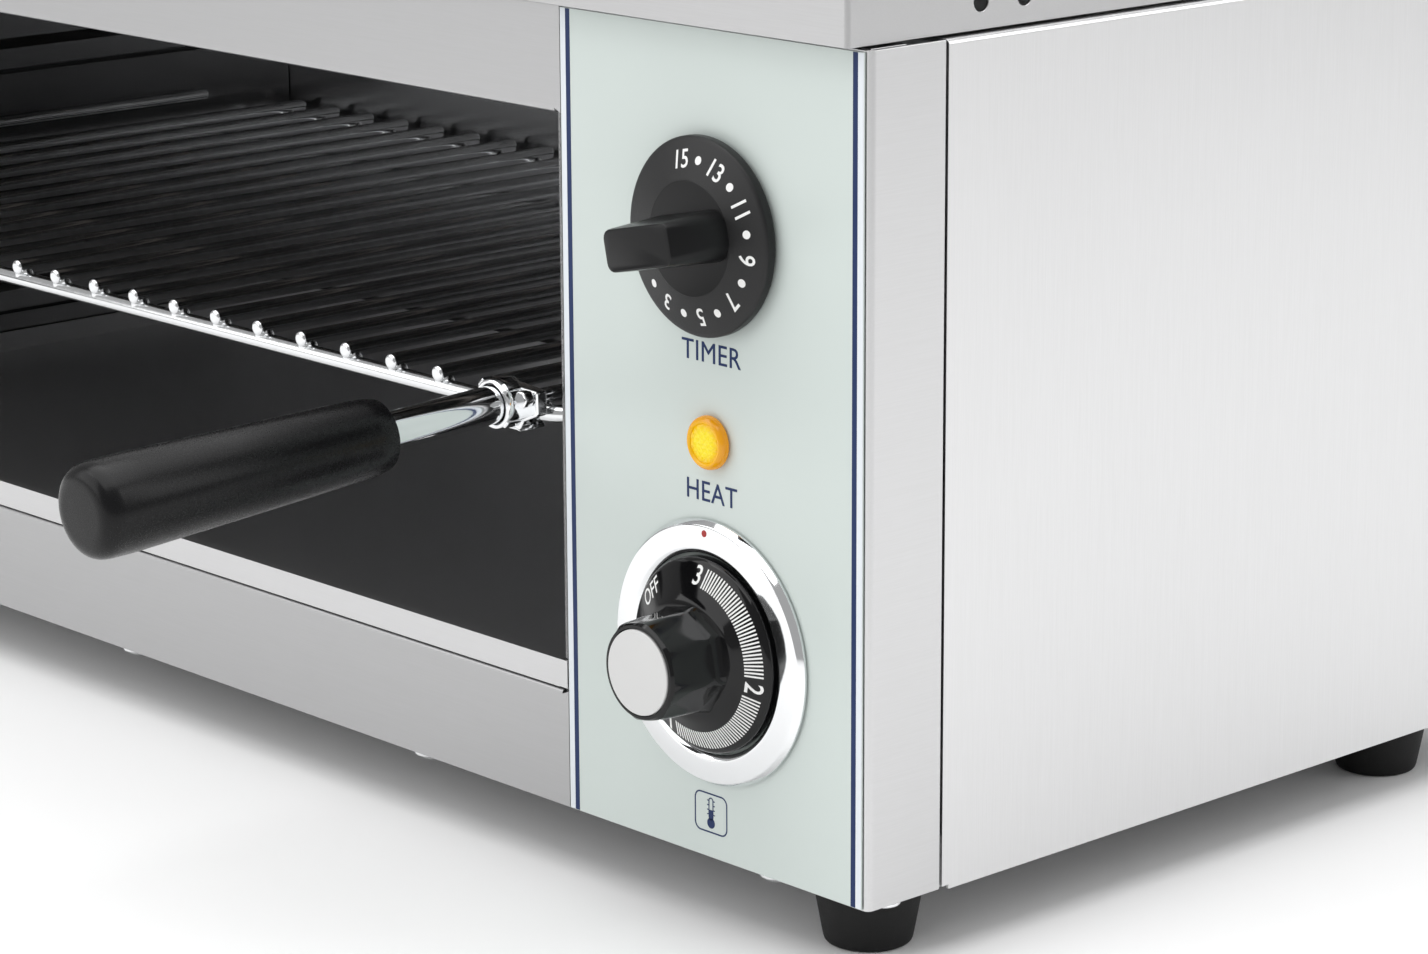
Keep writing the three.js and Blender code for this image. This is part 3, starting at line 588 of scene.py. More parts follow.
def turned(profile: Profile, sides: int = 72) -> bmesh.types.BMesh:
    """A turned piece whose height runs along +Z; a profile that starts and ends on the axis is closed.

    Args:
        profile: Radius and height of each point.
        sides: Steps round the axis.

    Returns:
        The turned shell.
    """
    made = bmesh.new()
    rings = []
    for radius, height in profile:
        if radius < 1e-6:
            rings.append([made.verts.new((0.0, 0.0, height))] * sides)
            continue
        angles = [2 * math.pi * k / sides for k in range(sides)]
        ring = [(radius * math.cos(a), radius * math.sin(a), height) for a in angles]
        rings.append([made.verts.new(point) for point in ring])
    closed = profile[0] == profile[-1] and profile[0][0] > 1e-6
    if closed:
        for vert in rings.pop():
            made.verts.remove(vert)
        rings.append(rings[0])
    bridged(made, rings)
    outward(made)
    return made


def to_front(made: bmesh.types.BMesh, x: float, z: float) -> bmesh.types.BMesh:
    """Turns a shell whose height runs along +Z so that it runs to the front from the front face.

    Args:
        made: The shell.
        x: Where its axis stands across.
        z: Where its axis stands up.

    Returns:
        The same shell.
    """
    turn = Matrix.Translation((x, 0.0, z)) @ Matrix.Rotation(math.pi / 2, 4, "X")
    bmesh.ops.transform(made, matrix=turn, verts=made.verts)
    return made


def block(low: Point, high: Point) -> bmesh.types.BMesh:
    """A box between two corners, to be bevelled or joined with more.

    Args:
        low: The lowest corner.
        high: The highest corner.

    Returns:
        The box.
    """
    made = bmesh.new()
    size = Vector(high) - Vector(low)
    middle = (Vector(high) + Vector(low)) / 2
    place = Matrix.Translation(middle) @ Matrix.Diagonal((*size, 1.0))
    bmesh.ops.create_cube(made, size=1.0, matrix=place)
    return made


def prism(outline: Sequence[tuple[float, float]], front: float, back: float) -> bmesh.types.BMesh:
    """A flat outline on X and Z given depth along Y.

    Args:
        outline: The corners' X and Z.
        front: The Y of the front face.
        back: The Y of the rear face.

    Returns:
        The solid.
    """
    made = bmesh.new()
    near = [made.verts.new((x, front, z)) for x, z in outline]
    far = [made.verts.new((x, back, z)) for x, z in outline]
    made.faces.new(near)
    made.faces.new(list(reversed(far)))
    count = len(outline)
    for k in range(count):
        made.faces.new([near[k], far[k], far[(k + 1) % count], near[(k + 1) % count]])
    outward(made)
    return made


def swept(path: Sequence[Vector], radius: float, sides: int = 20) -> bmesh.types.BMesh:
    """A round bar or wire along a path, closed at both ends.

    Args:
        path: The points of its middle line.
        radius: Its radius.
        sides: Steps round it.

    Returns:
        The shell.
    """
    made = bmesh.new()
    count = len(path)
    along = [(path[min(i + 1, count - 1)] - path[max(i - 1, 0)]).normalized() for i in range(count)]
    across = along[0].orthogonal().normalized()
    rings = []
    for point, direction in zip(path, along):
        across = (across - direction * across.dot(direction)).normalized()
        other = direction.cross(across)
        angles = [2 * math.pi * k / sides for k in range(sides)]
        ring = [point + radius * (across * math.cos(a) + other * math.sin(a)) for a in angles]
        rings.append([made.verts.new(p) for p in ring])
    bridged(made, rings)
    made.faces.new(rings[0])
    made.faces.new(rings[-1])
    outward(made)
    return made


def rod(radius: float, length: float, tip: float, sides: int = 24) -> bmesh.types.BMesh:
    """A straight rod along +Z with rounded ends.

    Args:
        radius: Its radius.
        length: Its length over the ends.
        tip: The fillet of its ends.
        sides: Steps round it.

    Returns:
        The rod.
    """
    corners = [(0.0, 0.0, 0.0), (radius, 0.0, tip), (radius, length, tip), (0.0, length, 0.0)]
    return turned(filleted(corners), sides)


@dataclass
class FoldedSheet:
    """Sheet metal folded from flat outer faces, with rounded bends."""

    bend: float
    faces: list[tuple[Facing, list[Point]]] = field(default_factory=list)

    def face(self, facing: Facing, *corners: Point) -> "FoldedSheet":
        """Adds a flat face.

        Args:
            facing: The side that the face looks to.
            corners: Its corners in order.

        Returns:
            This sheet.
        """
        self.faces.append((facing, list(corners)))
        return self

    def make(self) -> bmesh.types.BMesh:
        """Folds the sheet: shared edges become round bends."""
        made = bmesh.new()
        known: dict[Point, bmesh.types.BMVert] = {}
        for facing, corners in self.faces:
            for corner in corners:
                if corner not in known:
                    known[corner] = made.verts.new(corner)
            made_face = made.faces.new([known[corner] for corner in corners])
            made_face.normal_update()
            if made_face.normal.dot(Vector(facing.value)) < 0:
                made_face.normal_flip()
        bends = [edge for edge in made.edges if len(edge.link_faces) == 2]
        bmesh.ops.bevel(
            made,
            geom=bends,
            offset=self.bend,
            offset_type="OFFSET",
            segments=4,
            profile=0.5,
            affect="EDGES",
        )
        return made


# ---- Finishing a piece --------------------------------------------------------------------------
def plain_mesh(holder: bpy.types.Object) -> bpy.types.Mesh:
    """The evaluated mesh of an object, as a mesh of its own.

    Args:
        holder: The object, with its modifiers.

    Returns:
        The plain mesh.
    """
    bpy.context.view_layer.update()
    graph = bpy.context.evaluated_depsgraph_get()
    return bpy.data.meshes.new_from_object(
        holder.evaluated_get(graph), preserve_all_data_layers=True, depsgraph=graph
    )


def shelled(holder: bpy.types.Object, thickness: float) -> None:
    """Gives an open sheet its thickness, inwards.

    Args:
        holder: The object that holds the sheet.
        thickness: How thick it becomes.
    """
    solidify = holder.modifiers.new("shell", "SOLIDIFY")
    solidify.thickness = thickness
    solidify.offset = -1.0
    solidify.use_even_offset = True


@dataclass
class Piece:
    """One visible piece on its way from a mesh in the maker's datum to a finished object."""

    name: str
    finish: Finish
    body: Body = Body.CHASSIS
    replaces: tuple[str, ...] = ()
    shell: float = 0.0
    bevel: float = 0.0
    bevel_steps: int = 2
    crease: float = 35.0

    def build(self, made: bmesh.types.BMesh | bpy.types.Mesh) -> bpy.types.Object:
        """Finishes the piece and hands it to the frame.

        Args:
            made: Its mesh in the maker's datum.

        Returns:
            The object, at the origin, with a plain mesh in metres.
        """
        mesh = made if isinstance(made, bpy.types.Mesh) else mesh_from(made, self.name)
        holder = bpy.data.objects.new(self.name + "_making", mesh)
        bpy.context.scene.collection.objects.link(holder)
        mesh.shade_smooth()
        mesh.set_sharp_from_angle(angle=math.radians(self.crease))
        if self.shell:
            shelled(holder, self.shell)
        if self.bevel:
            bevel = holder.modifiers.new("edges", "BEVEL")
            bevel.width = self.bevel
            bevel.segments = self.bevel_steps
            bevel.limit_method = "ANGLE"
            bevel.angle_limit = BEVEL_ANGLE
            bevel.use_clamp_overlap = True
        if self.shell or self.bevel:
            weighted = holder.modifiers.new("normals", "WEIGHTED_NORMAL")
            weighted.weight = 100
            weighted.keep_sharp = True
        final = plain_mesh(holder)
        bpy.data.objects.remove(holder)
        return self.hand_over(final)

    def hand_over(self, final: bpy.types.Mesh) -> bpy.types.Object:
        """Places a finished mesh, dresses it and lets it ride on its body.

        Args:
            final: The mesh in the maker's datum.

        Returns:
            The finished object.
        """
        final.name = self.name
        final.transform(TO_FRAME)
        final.materials.clear()
        final.materials.append(material_of(self.finish))
        for polygon in final.polygons:
            polygon.material_index = 0
        piece = bpy.data.objects.new(self.name, final)
        bpy.context.scene.collection.objects.link(piece)
        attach(piece, self.body.value)
        if self.replaces:
            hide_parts(*self.replaces)
        LOG.info("%s: %d faces, on %s", self.name, len(final.polygons), self.body.value)
        return piece

    def copied(self, node: str) -> bpy.types.Object:
        """Builds the piece from a frame node's own shape, with its triangles joined and its edges eased.

        Args:
            node: The node, which this piece stands for.

        Returns:
            The finished object.
        """
        made = opened(frame["nodes"][node].data)
        bmesh.ops.transform(made, matrix=FROM_FRAME, verts=made.verts)
        bmesh.ops.remove_doubles(made, verts=made.verts, dist=0.002)
        bmesh.ops.dissolve_limit(
            made, angle_limit=math.radians(0.6), verts=made.verts, edges=made.edges, delimit=set()
        )
        self.replaces = (node,)
        return self.build(made)


def dress(node: str, finish: Finish) -> None:
    """Gives a carried-over frame node its finish.

    Args:
        node: The node's name.
        finish: Its finish.
    """
    carried = frame["nodes"][node]
    carried.data.materials.clear()
    carried.data.materials.append(material_of(finish))
    LOG.info("%s: carried over", node)


# ---- Geometry Nodes -----------------------------------------------------------------------------
class PatternTree:
    """A Geometry Nodes tree with named inputs, ending in Realize Instances and Set Material."""

    def __init__(self, name: str) -> None:
        """Starts a tree with a geometry and a material input.

        Args:
            name: The tree's name.
        """
        self.tree = bpy.data.node_groups.new(name, "GeometryNodeTree")
        self.tree.interface.new_socket("Geometry", in_out="OUTPUT", socket_type="NodeSocketGeometry")
        self.ids: dict[str, str] = {}
        self.declare("Geometry", "NodeSocketGeometry")
        self.declare("Material", "NodeSocketMaterial")
        self.source = self.tree.nodes.new("NodeGroupInput")

    def declare(self, name: str, kind: str) -> None:
        """Adds a named input.

        Args:
            name: The input's name.
            kind: Its socket type.
        """
        socket = self.tree.interface.new_socket(name, in_out="INPUT", socket_type=kind)
        self.ids[name] = socket.identifier

    def node(self, kind: str, **settings: str) -> bpy.types.Node:
        """Adds a node.

        Args:
            kind: The node's type.
            settings: Its own settings.

        Returns:
            The node.
        """
        node = self.tree.nodes.new(kind)
        for name, value in settings.items():
            setattr(node, name, value)
        return node

    def link(self, start: bpy.types.NodeSocket, end: bpy.types.NodeSocket) -> None:
        """Links an output to an input."""
        self.tree.links.new(start, end)

    def given(self, name: str, end: bpy.types.NodeSocket) -> None:
        """Links a named input of the tree to a node's input."""
        self.link(self.source.outputs[name], end)

    def row_of_points(self, start: str, step: str = "") -> bpy.types.Node:
        """Adds a row of points, as many as the input Count says.

        Args:
            start: The input that holds the first point.
            step: The input that holds the way to the next one, if they don't all lie on the first.

        Returns:
            The node that makes them.
        """
        self.declare("Count", "NodeSocketInt")
        self.declare(start, "NodeSocketVector")
        line = self.node("GeometryNodeMeshLine", mode="OFFSET", count_mode="TOTAL")
        line.inputs["Offset"].default_value = ORIGIN
        self.given("Count", line.inputs["Count"])
        self.given(start, line.inputs["Start Location"])
        if step:
            self.declare(step, "NodeSocketVector")
            self.given(step, line.inputs["Offset"])
        return line

    def close(self, geometry: bpy.types.NodeSocket) -> None:
        """Ends the tree: instances are made real and take the material.

        Args:
            geometry: The geometry to end with.
        """
        real = self.node("GeometryNodeRealizeInstances")
        paint = self.node("GeometryNodeSetMaterial")
        end = self.node("NodeGroupOutput")
        self.link(geometry, real.inputs["Geometry"])
        self.link(real.outputs["Geometry"], paint.inputs["Geometry"])
        self.given("Material", paint.inputs["Material"])
        self.link(paint.outputs["Geometry"], end.inputs["Geometry"])

    def run(
        self, made: bmesh.types.BMesh, finish: Finish, **values: float | Sequence[float]
    ) -> bpy.types.Mesh:
        """Runs the tree on a shape.

        Args:
            made: The shape that the tree repeats or cuts.
            finish: The finish that it ends with.
            values: The named inputs; an underscore stands for a space.

        Returns:
            The plain mesh that comes out, in the maker's datum.
        """
        holder = bpy.data.objects.new("pattern_making", mesh_from(made, "pattern"))
        modifier = holder.modifiers.new("pattern", "NODES")
        modifier.node_group = self.tree
        modifier[self.ids["Material"]] = material_of(finish)
        for name, value in values.items():
            modifier[self.ids[name.replace("_", " ")]] = value
        bpy.context.scene.collection.objects.link(holder)
        result = plain_mesh(holder)
        holder.modifiers.clear()
        bpy.data.objects.remove(holder)
        return result


def row_tree() -> PatternTree:
    """A tree that repeats a shape in a straight row.

    Returns:
        The tree, with inputs Count, Start and Step.
    """
    pattern = PatternTree("repeat_in_row")
    line = pattern.row_of_points("Start", "Step")
    place = pattern.node("GeometryNodeInstanceOnPoints")
    pattern.link(line.outputs["Mesh"], place.inputs["Points"])
    pattern.given("Geometry", place.inputs["Instance"])
    pattern.close(place.outputs["Instances"])
    return pattern


def ring_tree() -> PatternTree:
    """A tree that repeats a shape round an axis along Y.

    Returns:
        The tree, with inputs Count, Centre, First and Turn; angles are in radians.
    """
    pattern = PatternTree("repeat_in_ring")
    line = pattern.row_of_points("Centre")
    pattern.declare("First", "NodeSocketFloat")
    pattern.declare("Turn", "NodeSocketFloat")
    index = pattern.node("GeometryNodeInputIndex")
    turn = pattern.node("ShaderNodeMath", operation="MULTIPLY_ADD")
    pattern.link(index.outputs["Index"], turn.inputs[0])
    pattern.given("Turn", turn.inputs[1])
    pattern.given("First", turn.inputs[2])
    angles = pattern.node("ShaderNodeCombineXYZ")
    pattern.link(turn.outputs[0], angles.inputs["Y"])
    place = pattern.node("GeometryNodeInstanceOnPoints")
    pattern.link(line.outputs["Mesh"], place.inputs["Points"])
    pattern.link(angles.outputs[0], place.inputs["Rotation"])
    pattern.given("Geometry", place.inputs["Instance"])
    pattern.close(place.outputs["Instances"])
    return pattern


def drilling_tree() -> PatternTree:
    """A tree that drills a row of round holes along X through a shape.

    Returns:
        The tree, with inputs Count, Start, Step, Radius and Reach.
    """
    pattern = PatternTree("drilled_row")
    line = pattern.row_of_points("Start", "Step")
    pattern.declare("Radius", "NodeSocketFloat")
    pattern.declare("Reach", "NodeSocketFloat")
    drill = pattern.node("GeometryNodeMeshCylinder")
    drill.inputs["Vertices"].default_value = 24
    pattern.given("Radius", drill.inputs["Radius"])
    pattern.given("Reach", drill.inputs["Depth"])
    place = pattern.node("GeometryNodeInstanceOnPoints")
    place.inputs["Rotation"].default_value = (0.0, math.pi / 2, 0.0)
    pattern.link(line.outputs["Mesh"], place.inputs["Points"])
    pattern.link(drill.outputs["Mesh"], place.inputs["Instance"])
    real = pattern.node("GeometryNodeRealizeInstances")
    pattern.link(place.outputs["Instances"], real.inputs["Geometry"])
    cut = pattern.node("GeometryNodeMeshBoolean", operation="DIFFERENCE")
    pattern.given("Geometry", cut.inputs["Mesh 1"])
    pattern.link(real.outputs["Geometry"], cut.inputs["Mesh 2"])
    pattern.close(cut.outputs["Mesh"])
    return pattern


ROW = row_tree()
RING = ring_tree()
DRILLED = drilling_tree()


# ---- Print --------------------------------------------------------------------------------------
@dataclass
class Lettering:
    """Flat letters and figures cut as thin shapes.

    Attributes:
        height: Height of a capital.
        width: Width as a share of the face's own.
        weight: How much the strokes grow, as a share of the letter's size.
        spacing: Distance between letters as a share of the face's own.
    """

    height: float
    width: float = 1.0
    weight: float = 0.0
    spacing: float = 1.0

    def cut(self, text: str, turn: float = 0.0, radius: float = 0.0) -> bmesh.types.BMesh:
        """Cuts a text, centred, upright on X and Z at Y 0, 0.2 deep.

        Args:
            text: What it says.
            turn: Its place clockwise from the top of a dial, in radians.
            radius: Its distance from the dial's middle.

        Returns:
            The letters.
        """
        capital = 0.61
        curve = bpy.data.curves.new("lettering", "FONT")
        curve.body = text
        curve.align_x = "CENTER"
        curve.align_y = "CENTER"
        curve.size = self.height / capital
        curve.offset = self.weight * self.height
        curve.space_character = self.spacing
        curve.extrude = 0.1
        curve.resolution_u = 3
        holder = bpy.data.objects.new("lettering", curve)
        bpy.context.scene.collection.objects.link(holder)
        mesh = plain_mesh(holder)
        bpy.data.objects.remove(holder)
        made = opened(mesh)
        low = min(v.co.y for v in made.verts)
        high = max(v.co.y for v in made.verts)
        bmesh.ops.translate(made, vec=(0.0, -(low + high) / 2, 0.0), verts=made.verts)
        place = (
            Matrix.Rotation(turn, 4, "Y")
            @ Matrix.Translation((0.0, 0.0, radius))
            @ Matrix.Rotation(math.pi / 2, 4, "X")
            @ Matrix.Diagonal((self.width, 1.0, 1.0, 1.0))
        )
        bmesh.ops.transform(made, matrix=place, verts=made.verts)
        bmesh.ops.remove_doubles(made, verts=made.verts, dist=1e-4)
        return made


def printed_dot(radius: float) -> bmesh.types.BMesh:
    """A round dot of print, to be laid on a face.

    Args:
        radius: Its radius.

    Returns:
        A thin disc across the Z axis.
    """
    return turned([(0.0, -0.1), (radius, -0.1), (radius, 0.1), (0.0, 0.1)], 20)


def laid_on(
    made: bmesh.types.BMesh, surface: Callable[[float], float], x: float, z: float
) -> bmesh.types.BMesh:
    """Lays thin print on a turned face and moves it to the face's axis.

    Args:
        made: The print, with its front at negative Y, round the origin.
        surface: How far in front of the casing the face stands at a radius.
        x: Where the axis stands across.
        z: Where the axis stands up.

    Returns:
        The same print.
    """
    proud = 0.05
    for vert in made.verts:
        height = surface(math.hypot(vert.co.x, vert.co.z))
        vert.co.y = -(height + proud) if vert.co.y < 0 else -(height - proud)
    bmesh.ops.translate(made, vec=(x, 0.0, z), verts=made.verts)
    return made


def on_profile(profile: Profile) -> Callable[[float], float]:
    """The height of a turned face's front at a radius.

    Args:
        profile: The face's profile, from rim to middle or back.

    Returns:
        A function from radius to height.
    """
    spans = list(zip(profile, profile[1:]))

    def height(radius: float) -> float:
        """The greatest height of the profile at a radius."""
        found = [0.0]
        for (r0, h0), (r1, h1) in spans:
            if min(r0, r1) <= radius <= max(r0, r1) and r0 != r1:
                found.append(h0 + (h1 - h0) * (radius - r0) / (r1 - r0))
        return max(found)

    return height


# ---- Casing -------------------------------------------------------------------------------------
@dataclass
class Casing:
    """The folded outer sheets: lid, sides, rear, base and the two front fascias."""

    right: float = extent("right_side_panel")[1].x
    left: float = extent("left_side_panel")[0].x
    back: float = extent("rear_panel")[1].y
    top: float = extent("control_panel")[1].z
    side_foot: float = extent("right_side_panel")[0].z
    seam: float = extent("right_side_panel")[0].y
    post: float = 21.7
    top_return: float = 15.0
    edge: float = 0.16
    hem: float = 4.5
    hem_inset: float = 2.2
    vents: int = 13
    vent_radius: float = 2.7
    vent_pitch: float = 16.0
    first_vent: float = 42.0
    vent_rise: float = 7.3

    def build(self) -> None:
        """Builds every sheet."""
        self.lid()
        self.right_side()
        self.left_side()
        self.fascias()
        Piece("base_pan_sheet", BASE_STEEL_PAINTED_SHADE, bevel=0.25).copied("base_pan")
        Piece("rear_sheet", BASE_STEEL_PAINTED_SHADE, bevel=0.2).copied("rear_panel")

    def lid(self) -> None:
        """The lid: a folded box with a hemmed front edge and a row of vents on each side."""
        low, high = extent("top_lid")
        x0, y0, z0 = low
        x1, y1, z1 = high
        sheet = FoldedSheet(bend=1.6)
        sheet.face(Facing.UP, (x0, y0, z1), (x1, y0, z1), (x1, y1, z1), (x0, y1, z1))
        sheet.face(Facing.FRONT, (x0, y0, z0), (x1, y0, z0), (x1, y0, z1), (x0, y0, z1))
        sheet.face(Facing.BACK, (x0, y1, z0), (x1, y1, z0), (x1, y1, z1), (x0, y1, z1))
        sheet.face(Facing.LEFT, (x0, y0, z0), (x0, y1, z0), (x0, y1, z1), (x0, y0, z1))
        sheet.face(Facing.RIGHT, (x1, y0, z0), (x1, y1, z0), (x1, y1, z1), (x1, y0, z1))
        vents = DRILLED.run(
            self.thick(sheet.make()),
            LID_STEEL_PAINTED_SHADE,
            Count=self.vents,
            Start=(0.0, self.first_vent, z0 + self.vent_rise),
            Step=(0.0, self.vent_pitch, 0.0),
            Radius=self.vent_radius,
            Reach=(x1 - x0) + 20.0,
        )
        Piece("lid_sheet", LID_STEEL_PAINTED_SHADE, replaces=("top_lid",), bevel=self.edge, bevel_steps=1).build(vents)
        left, right = x0 + self.hem_inset, x1 - self.hem_inset
        fold = block((left, y0 + 1.05, z0 + 0.05), (right, y0 + self.hem, z0 + SHEET))
        Piece("lid_front_hem", LID_STEEL_PAINTED_SHADE, bevel=0.4, bevel_steps=3).build(fold)

    def thick(self, made: bmesh.types.BMesh) -> bmesh.types.BMesh:
        """Gives a folded sheet its thickness, inwards.

        Args:
            made: The outer faces.

        Returns:
            The closed sheet.
        """
        holder = bpy.data.objects.new("sheet_making", mesh_from(made, "sheet"))
        bpy.context.scene.collection.objects.link(holder)
        shelled(holder, SHEET)
        closed = opened(plain_mesh(holder))
        bpy.data.objects.remove(holder)
        return closed

    def right_side(self) -> None:
        """The right side panel, with the small notch at its lower front corner."""
        x = self.right
        y0, y1 = self.seam, self.back
        z0, z1 = self.side_foot, self.top
        notch = 2.5
        inner = x - self.top_return
        sheet = FoldedSheet(bend=1.4)
        sheet.face(
            Facing.RIGHT,
            (x, y0, 0.4),
            (x, y0 + notch, 0.4),
            (x, y0 + notch, z0),
            (x, y1, z0),
            (x, y1, z1),
            (x, y0, z1),
        )
        sheet.face(Facing.UP, (x, y0, z1), (x, y1, z1), (inner, y1, z1), (inner, y0, z1))
        made = sheet.make()
        name = "right_side_panel"
        Piece("right_side_sheet", SIDE_STEEL_PAINTED_LIGHT, replaces=(name,), shell=SHEET, bevel=self.edge).build(made)

    def left_side(self) -> None:
        """The left side panel, folded round the front into a narrow post."""
        x = self.left
        y1 = self.back
        z0, z1 = self.side_foot, self.top
        post = x + self.post
        inner = x + self.top_return
        sheet = FoldedSheet(bend=1.8)
        sheet.face(Facing.LEFT, (x, 0.0, z0), (x, y1, z0), (x, y1, z1), (x, 0.0, z1))
        sheet.face(Facing.FRONT, (x, 0.0, z0), (post, 0.0, z0), (post, 0.0, z1), (x, 0.0, z1))
        sheet.face(Facing.UP, (x, 2.2, z1), (x, y1, z1), (inner, y1, z1), (inner, 2.2, z1))
        made = sheet.make()
        name = "left_side_panel"
        Piece("left_side_sheet", SIDE_STEEL_PAINTED_LIGHT, replaces=(name,), shell=SHEET, bevel=self.edge).build(made)

    def fascias(self) -> None:
        """The strips above and below the opening, each with its edge folded inwards."""
        for node in ("upper_fascia", "lower_fascia"):
            low, high = extent(node)
            x0, x1 = low.x, high.x
            z0, z1 = low.z, high.z
            flange = high.y
            in0, in1 = x0 + 0.3, x1 - 2.7
            upper = node == "upper_fascia"
            bend_z = z0 if upper else z1
            far_z = z1 if upper else z0
            sheet = FoldedSheet(bend=1.2)
            sheet.face(
                Facing.FRONT,
                (x0, 0.0, far_z),
                (x1, 0.0, far_z),
                (x1, 0.0, bend_z),
                (in1, 0.0, bend_z),
                (in0, 0.0, bend_z),
                (x0, 0.0, bend_z),
            )
            plan = ((in0, 0.0), (in1, 0.0), (in1, flange), (in0, flange))
            sheet.face(Facing.DOWN if upper else Facing.UP, *((x, y, bend_z) for x, y in plan))
            piece = Piece(f"{node}_sheet", FASCIA_STEEL_PAINTED_SHADE, replaces=(node,), shell=SHEET, bevel=self.edge)
            piece.build(sheet.make())


# ---- Grill cavity -------------------------------------------------------------------------------
@dataclass
class Cavity:
    """The liner of the grill space with its pressed ledges, guides and insulation."""

    ledge_depth: float = 6.0
    ledge_height: float = 13.4
    ledge_slope: float = 3.2
    ledge_tops: tuple[float, ...] = (62.0, 107.0, 152.0)
    ledge_front: float = 8.0
    ledge_back: float = 236.0
    guide_radius: float = 2.4

    def build(self) -> None:
        """Builds the liner and what hangs in it."""
        self.wall("cavity_left_wall", "left_liner", 1)
        self.wall("cavity_right_wall", "right_liner", -1)
        Piece("back_liner", LINER_STEEL, bevel=0.2).copied("cavity_back_wall")
        Piece("liner_floor", LINER_STEEL, bevel=0.2).copied("cavity_floor")
        Piece("reflector", LINER_STEEL, bevel=0.3).copied("ceiling_reflector")
        Piece("heat_shield_sheet", ZINC, bevel=0.2).copied("heat_shield")
        for side in ("left", "right"):
            Piece(f"hanger_{side}", LINER_STEEL, bevel=0.15).copied(f"element_hanger_{side}")
            self.guide(side)
        self.insulation()

    def stadium(self, top: float, grow: float, steps: int = 14) -> list[tuple[float, float]]:
        """The outline of a ledge on Y and Z, grown or shrunk.

        Args:
            top: The height of the ledge's top.
            grow: How far the outline stands outside the ledge's foot.
            steps: Pieces in each round end.

        Returns:
            The outline's points.
        """
        half = self.ledge_height / 2
        radius = half + grow
        middle = top - half
        points = []
        ends = ((self.ledge_back - half, -math.pi / 2), (self.ledge_front + half, math.pi / 2))
        for centre, start in ends:
            for step in range(steps + 1):
                angle = start + math.pi * step / steps
                points.append((centre + radius * math.cos(angle), middle + radius * math.sin(angle)))
        return points

    def wall(self, node: str, name: str, side: int) -> None:
        """A side wall with three smoothly pressed ledges.

        Args:
            node: The frame node that it stands for.
            name: The piece's name.
            side: 1 where the grill space lies to the right of the wall, -1 to the left.
        """
        low, high = extent(node)
        face = low.x + SHEET if side > 0 else high.x - SHEET
        made = bmesh.new()
        rim = [(low.y, low.z), (high.y, low.z), (high.y, high.z), (low.y, high.z)]
        loops = [[made.verts.new((face, y, z)) for y, z in rim]]
        feet = []
        for top in self.ledge_tops:
            foot = [made.verts.new((face, y, z)) for y, z in self.stadium(top, 0.0)]
            loops.append(foot)
            feet.append((top, foot))
        edges = []
        for loop in loops:
            edges += [made.edges.new((a, b)) for a, b in zip(loop, loop[1:] + loop[:1])]
        bmesh.ops.triangle_fill(made, use_beauty=True, use_dissolve=False, edges=edges)
        for top, foot in feet:
            self.press(made, foot, top, face, side)
        outward(made, 1e-5)
        inward = sum(f.normal.x * f.calc_area() for f in made.faces)
        if inward * side < 0:
            bmesh.ops.reverse_faces(made, faces=made.faces)
        Piece(name, LINER_SIDE_STEEL, replaces=(node,), shell=0.95, crease=40.0).build(made)

    def press(
        self, made: bmesh.types.BMesh, foot: list[bmesh.types.BMVert], top: float, face: float, side: int
    ) -> None:
        """Raises one ledge out of the wall by rings that follow a rounded step.

        Args:
            made: The wall.
            foot: The ledge's outline in the wall.
            top: The height of the ledge's top.
            face: The wall's X.
            side: The way that the ledge stands out.
        """
        ring = foot
        steps = 9
        for step in range(1, steps + 1):
            share = step / steps
            out = self.ledge_depth * (1 - math.cos(math.pi * share)) / 2
            outline = self.stadium(top, -self.ledge_slope * share)
            following = [made.verts.new((face + side * out, y, z)) for y, z in outline]
            bridged(made, (ring, following))
            ring = following
        made.faces.new(ring)

    def guide(self, side: str) -> None:
        """A round guide bar above the rack's side rail."""
        low, high = extent(f"rack_guide_{side}")
        made = rod(self.guide_radius, high.y - low.y, 0.8)
        x, z = middle_of(f"rack_guide_{side}")
        bmesh.ops.transform(made, matrix=Matrix.Rotation(-math.pi / 2, 4, "X"), verts=made.verts)
        bmesh.ops.translate(made, vec=(x, low.y, z), verts=made.verts)
        Piece(f"guide_bar_{side}", CHROME, replaces=(f"rack_guide_{side}",)).build(made)

    def insulation(self) -> None:
        """The fibre blanket above the reflector, with soft uneven faces."""
        low, high = extent("roof_insulation")
        made = block(tuple(low + Vector((1.5, 1.5, 0.4))), tuple(high - Vector((1.5, 1.5, 1.5))))
        bmesh.ops.subdivide_edges(made, edges=made.edges, cuts=30, use_grid_fill=True)
        for vert in made.verts:
            wave = math.sin(vert.co.x * 0.13) * math.cos(vert.co.y * 0.11)
            vert.co.z += 0.3 * wave
        Piece("fibre_blanket", FIBRE, replaces=("roof_insulation",), crease=60.0).build(made)


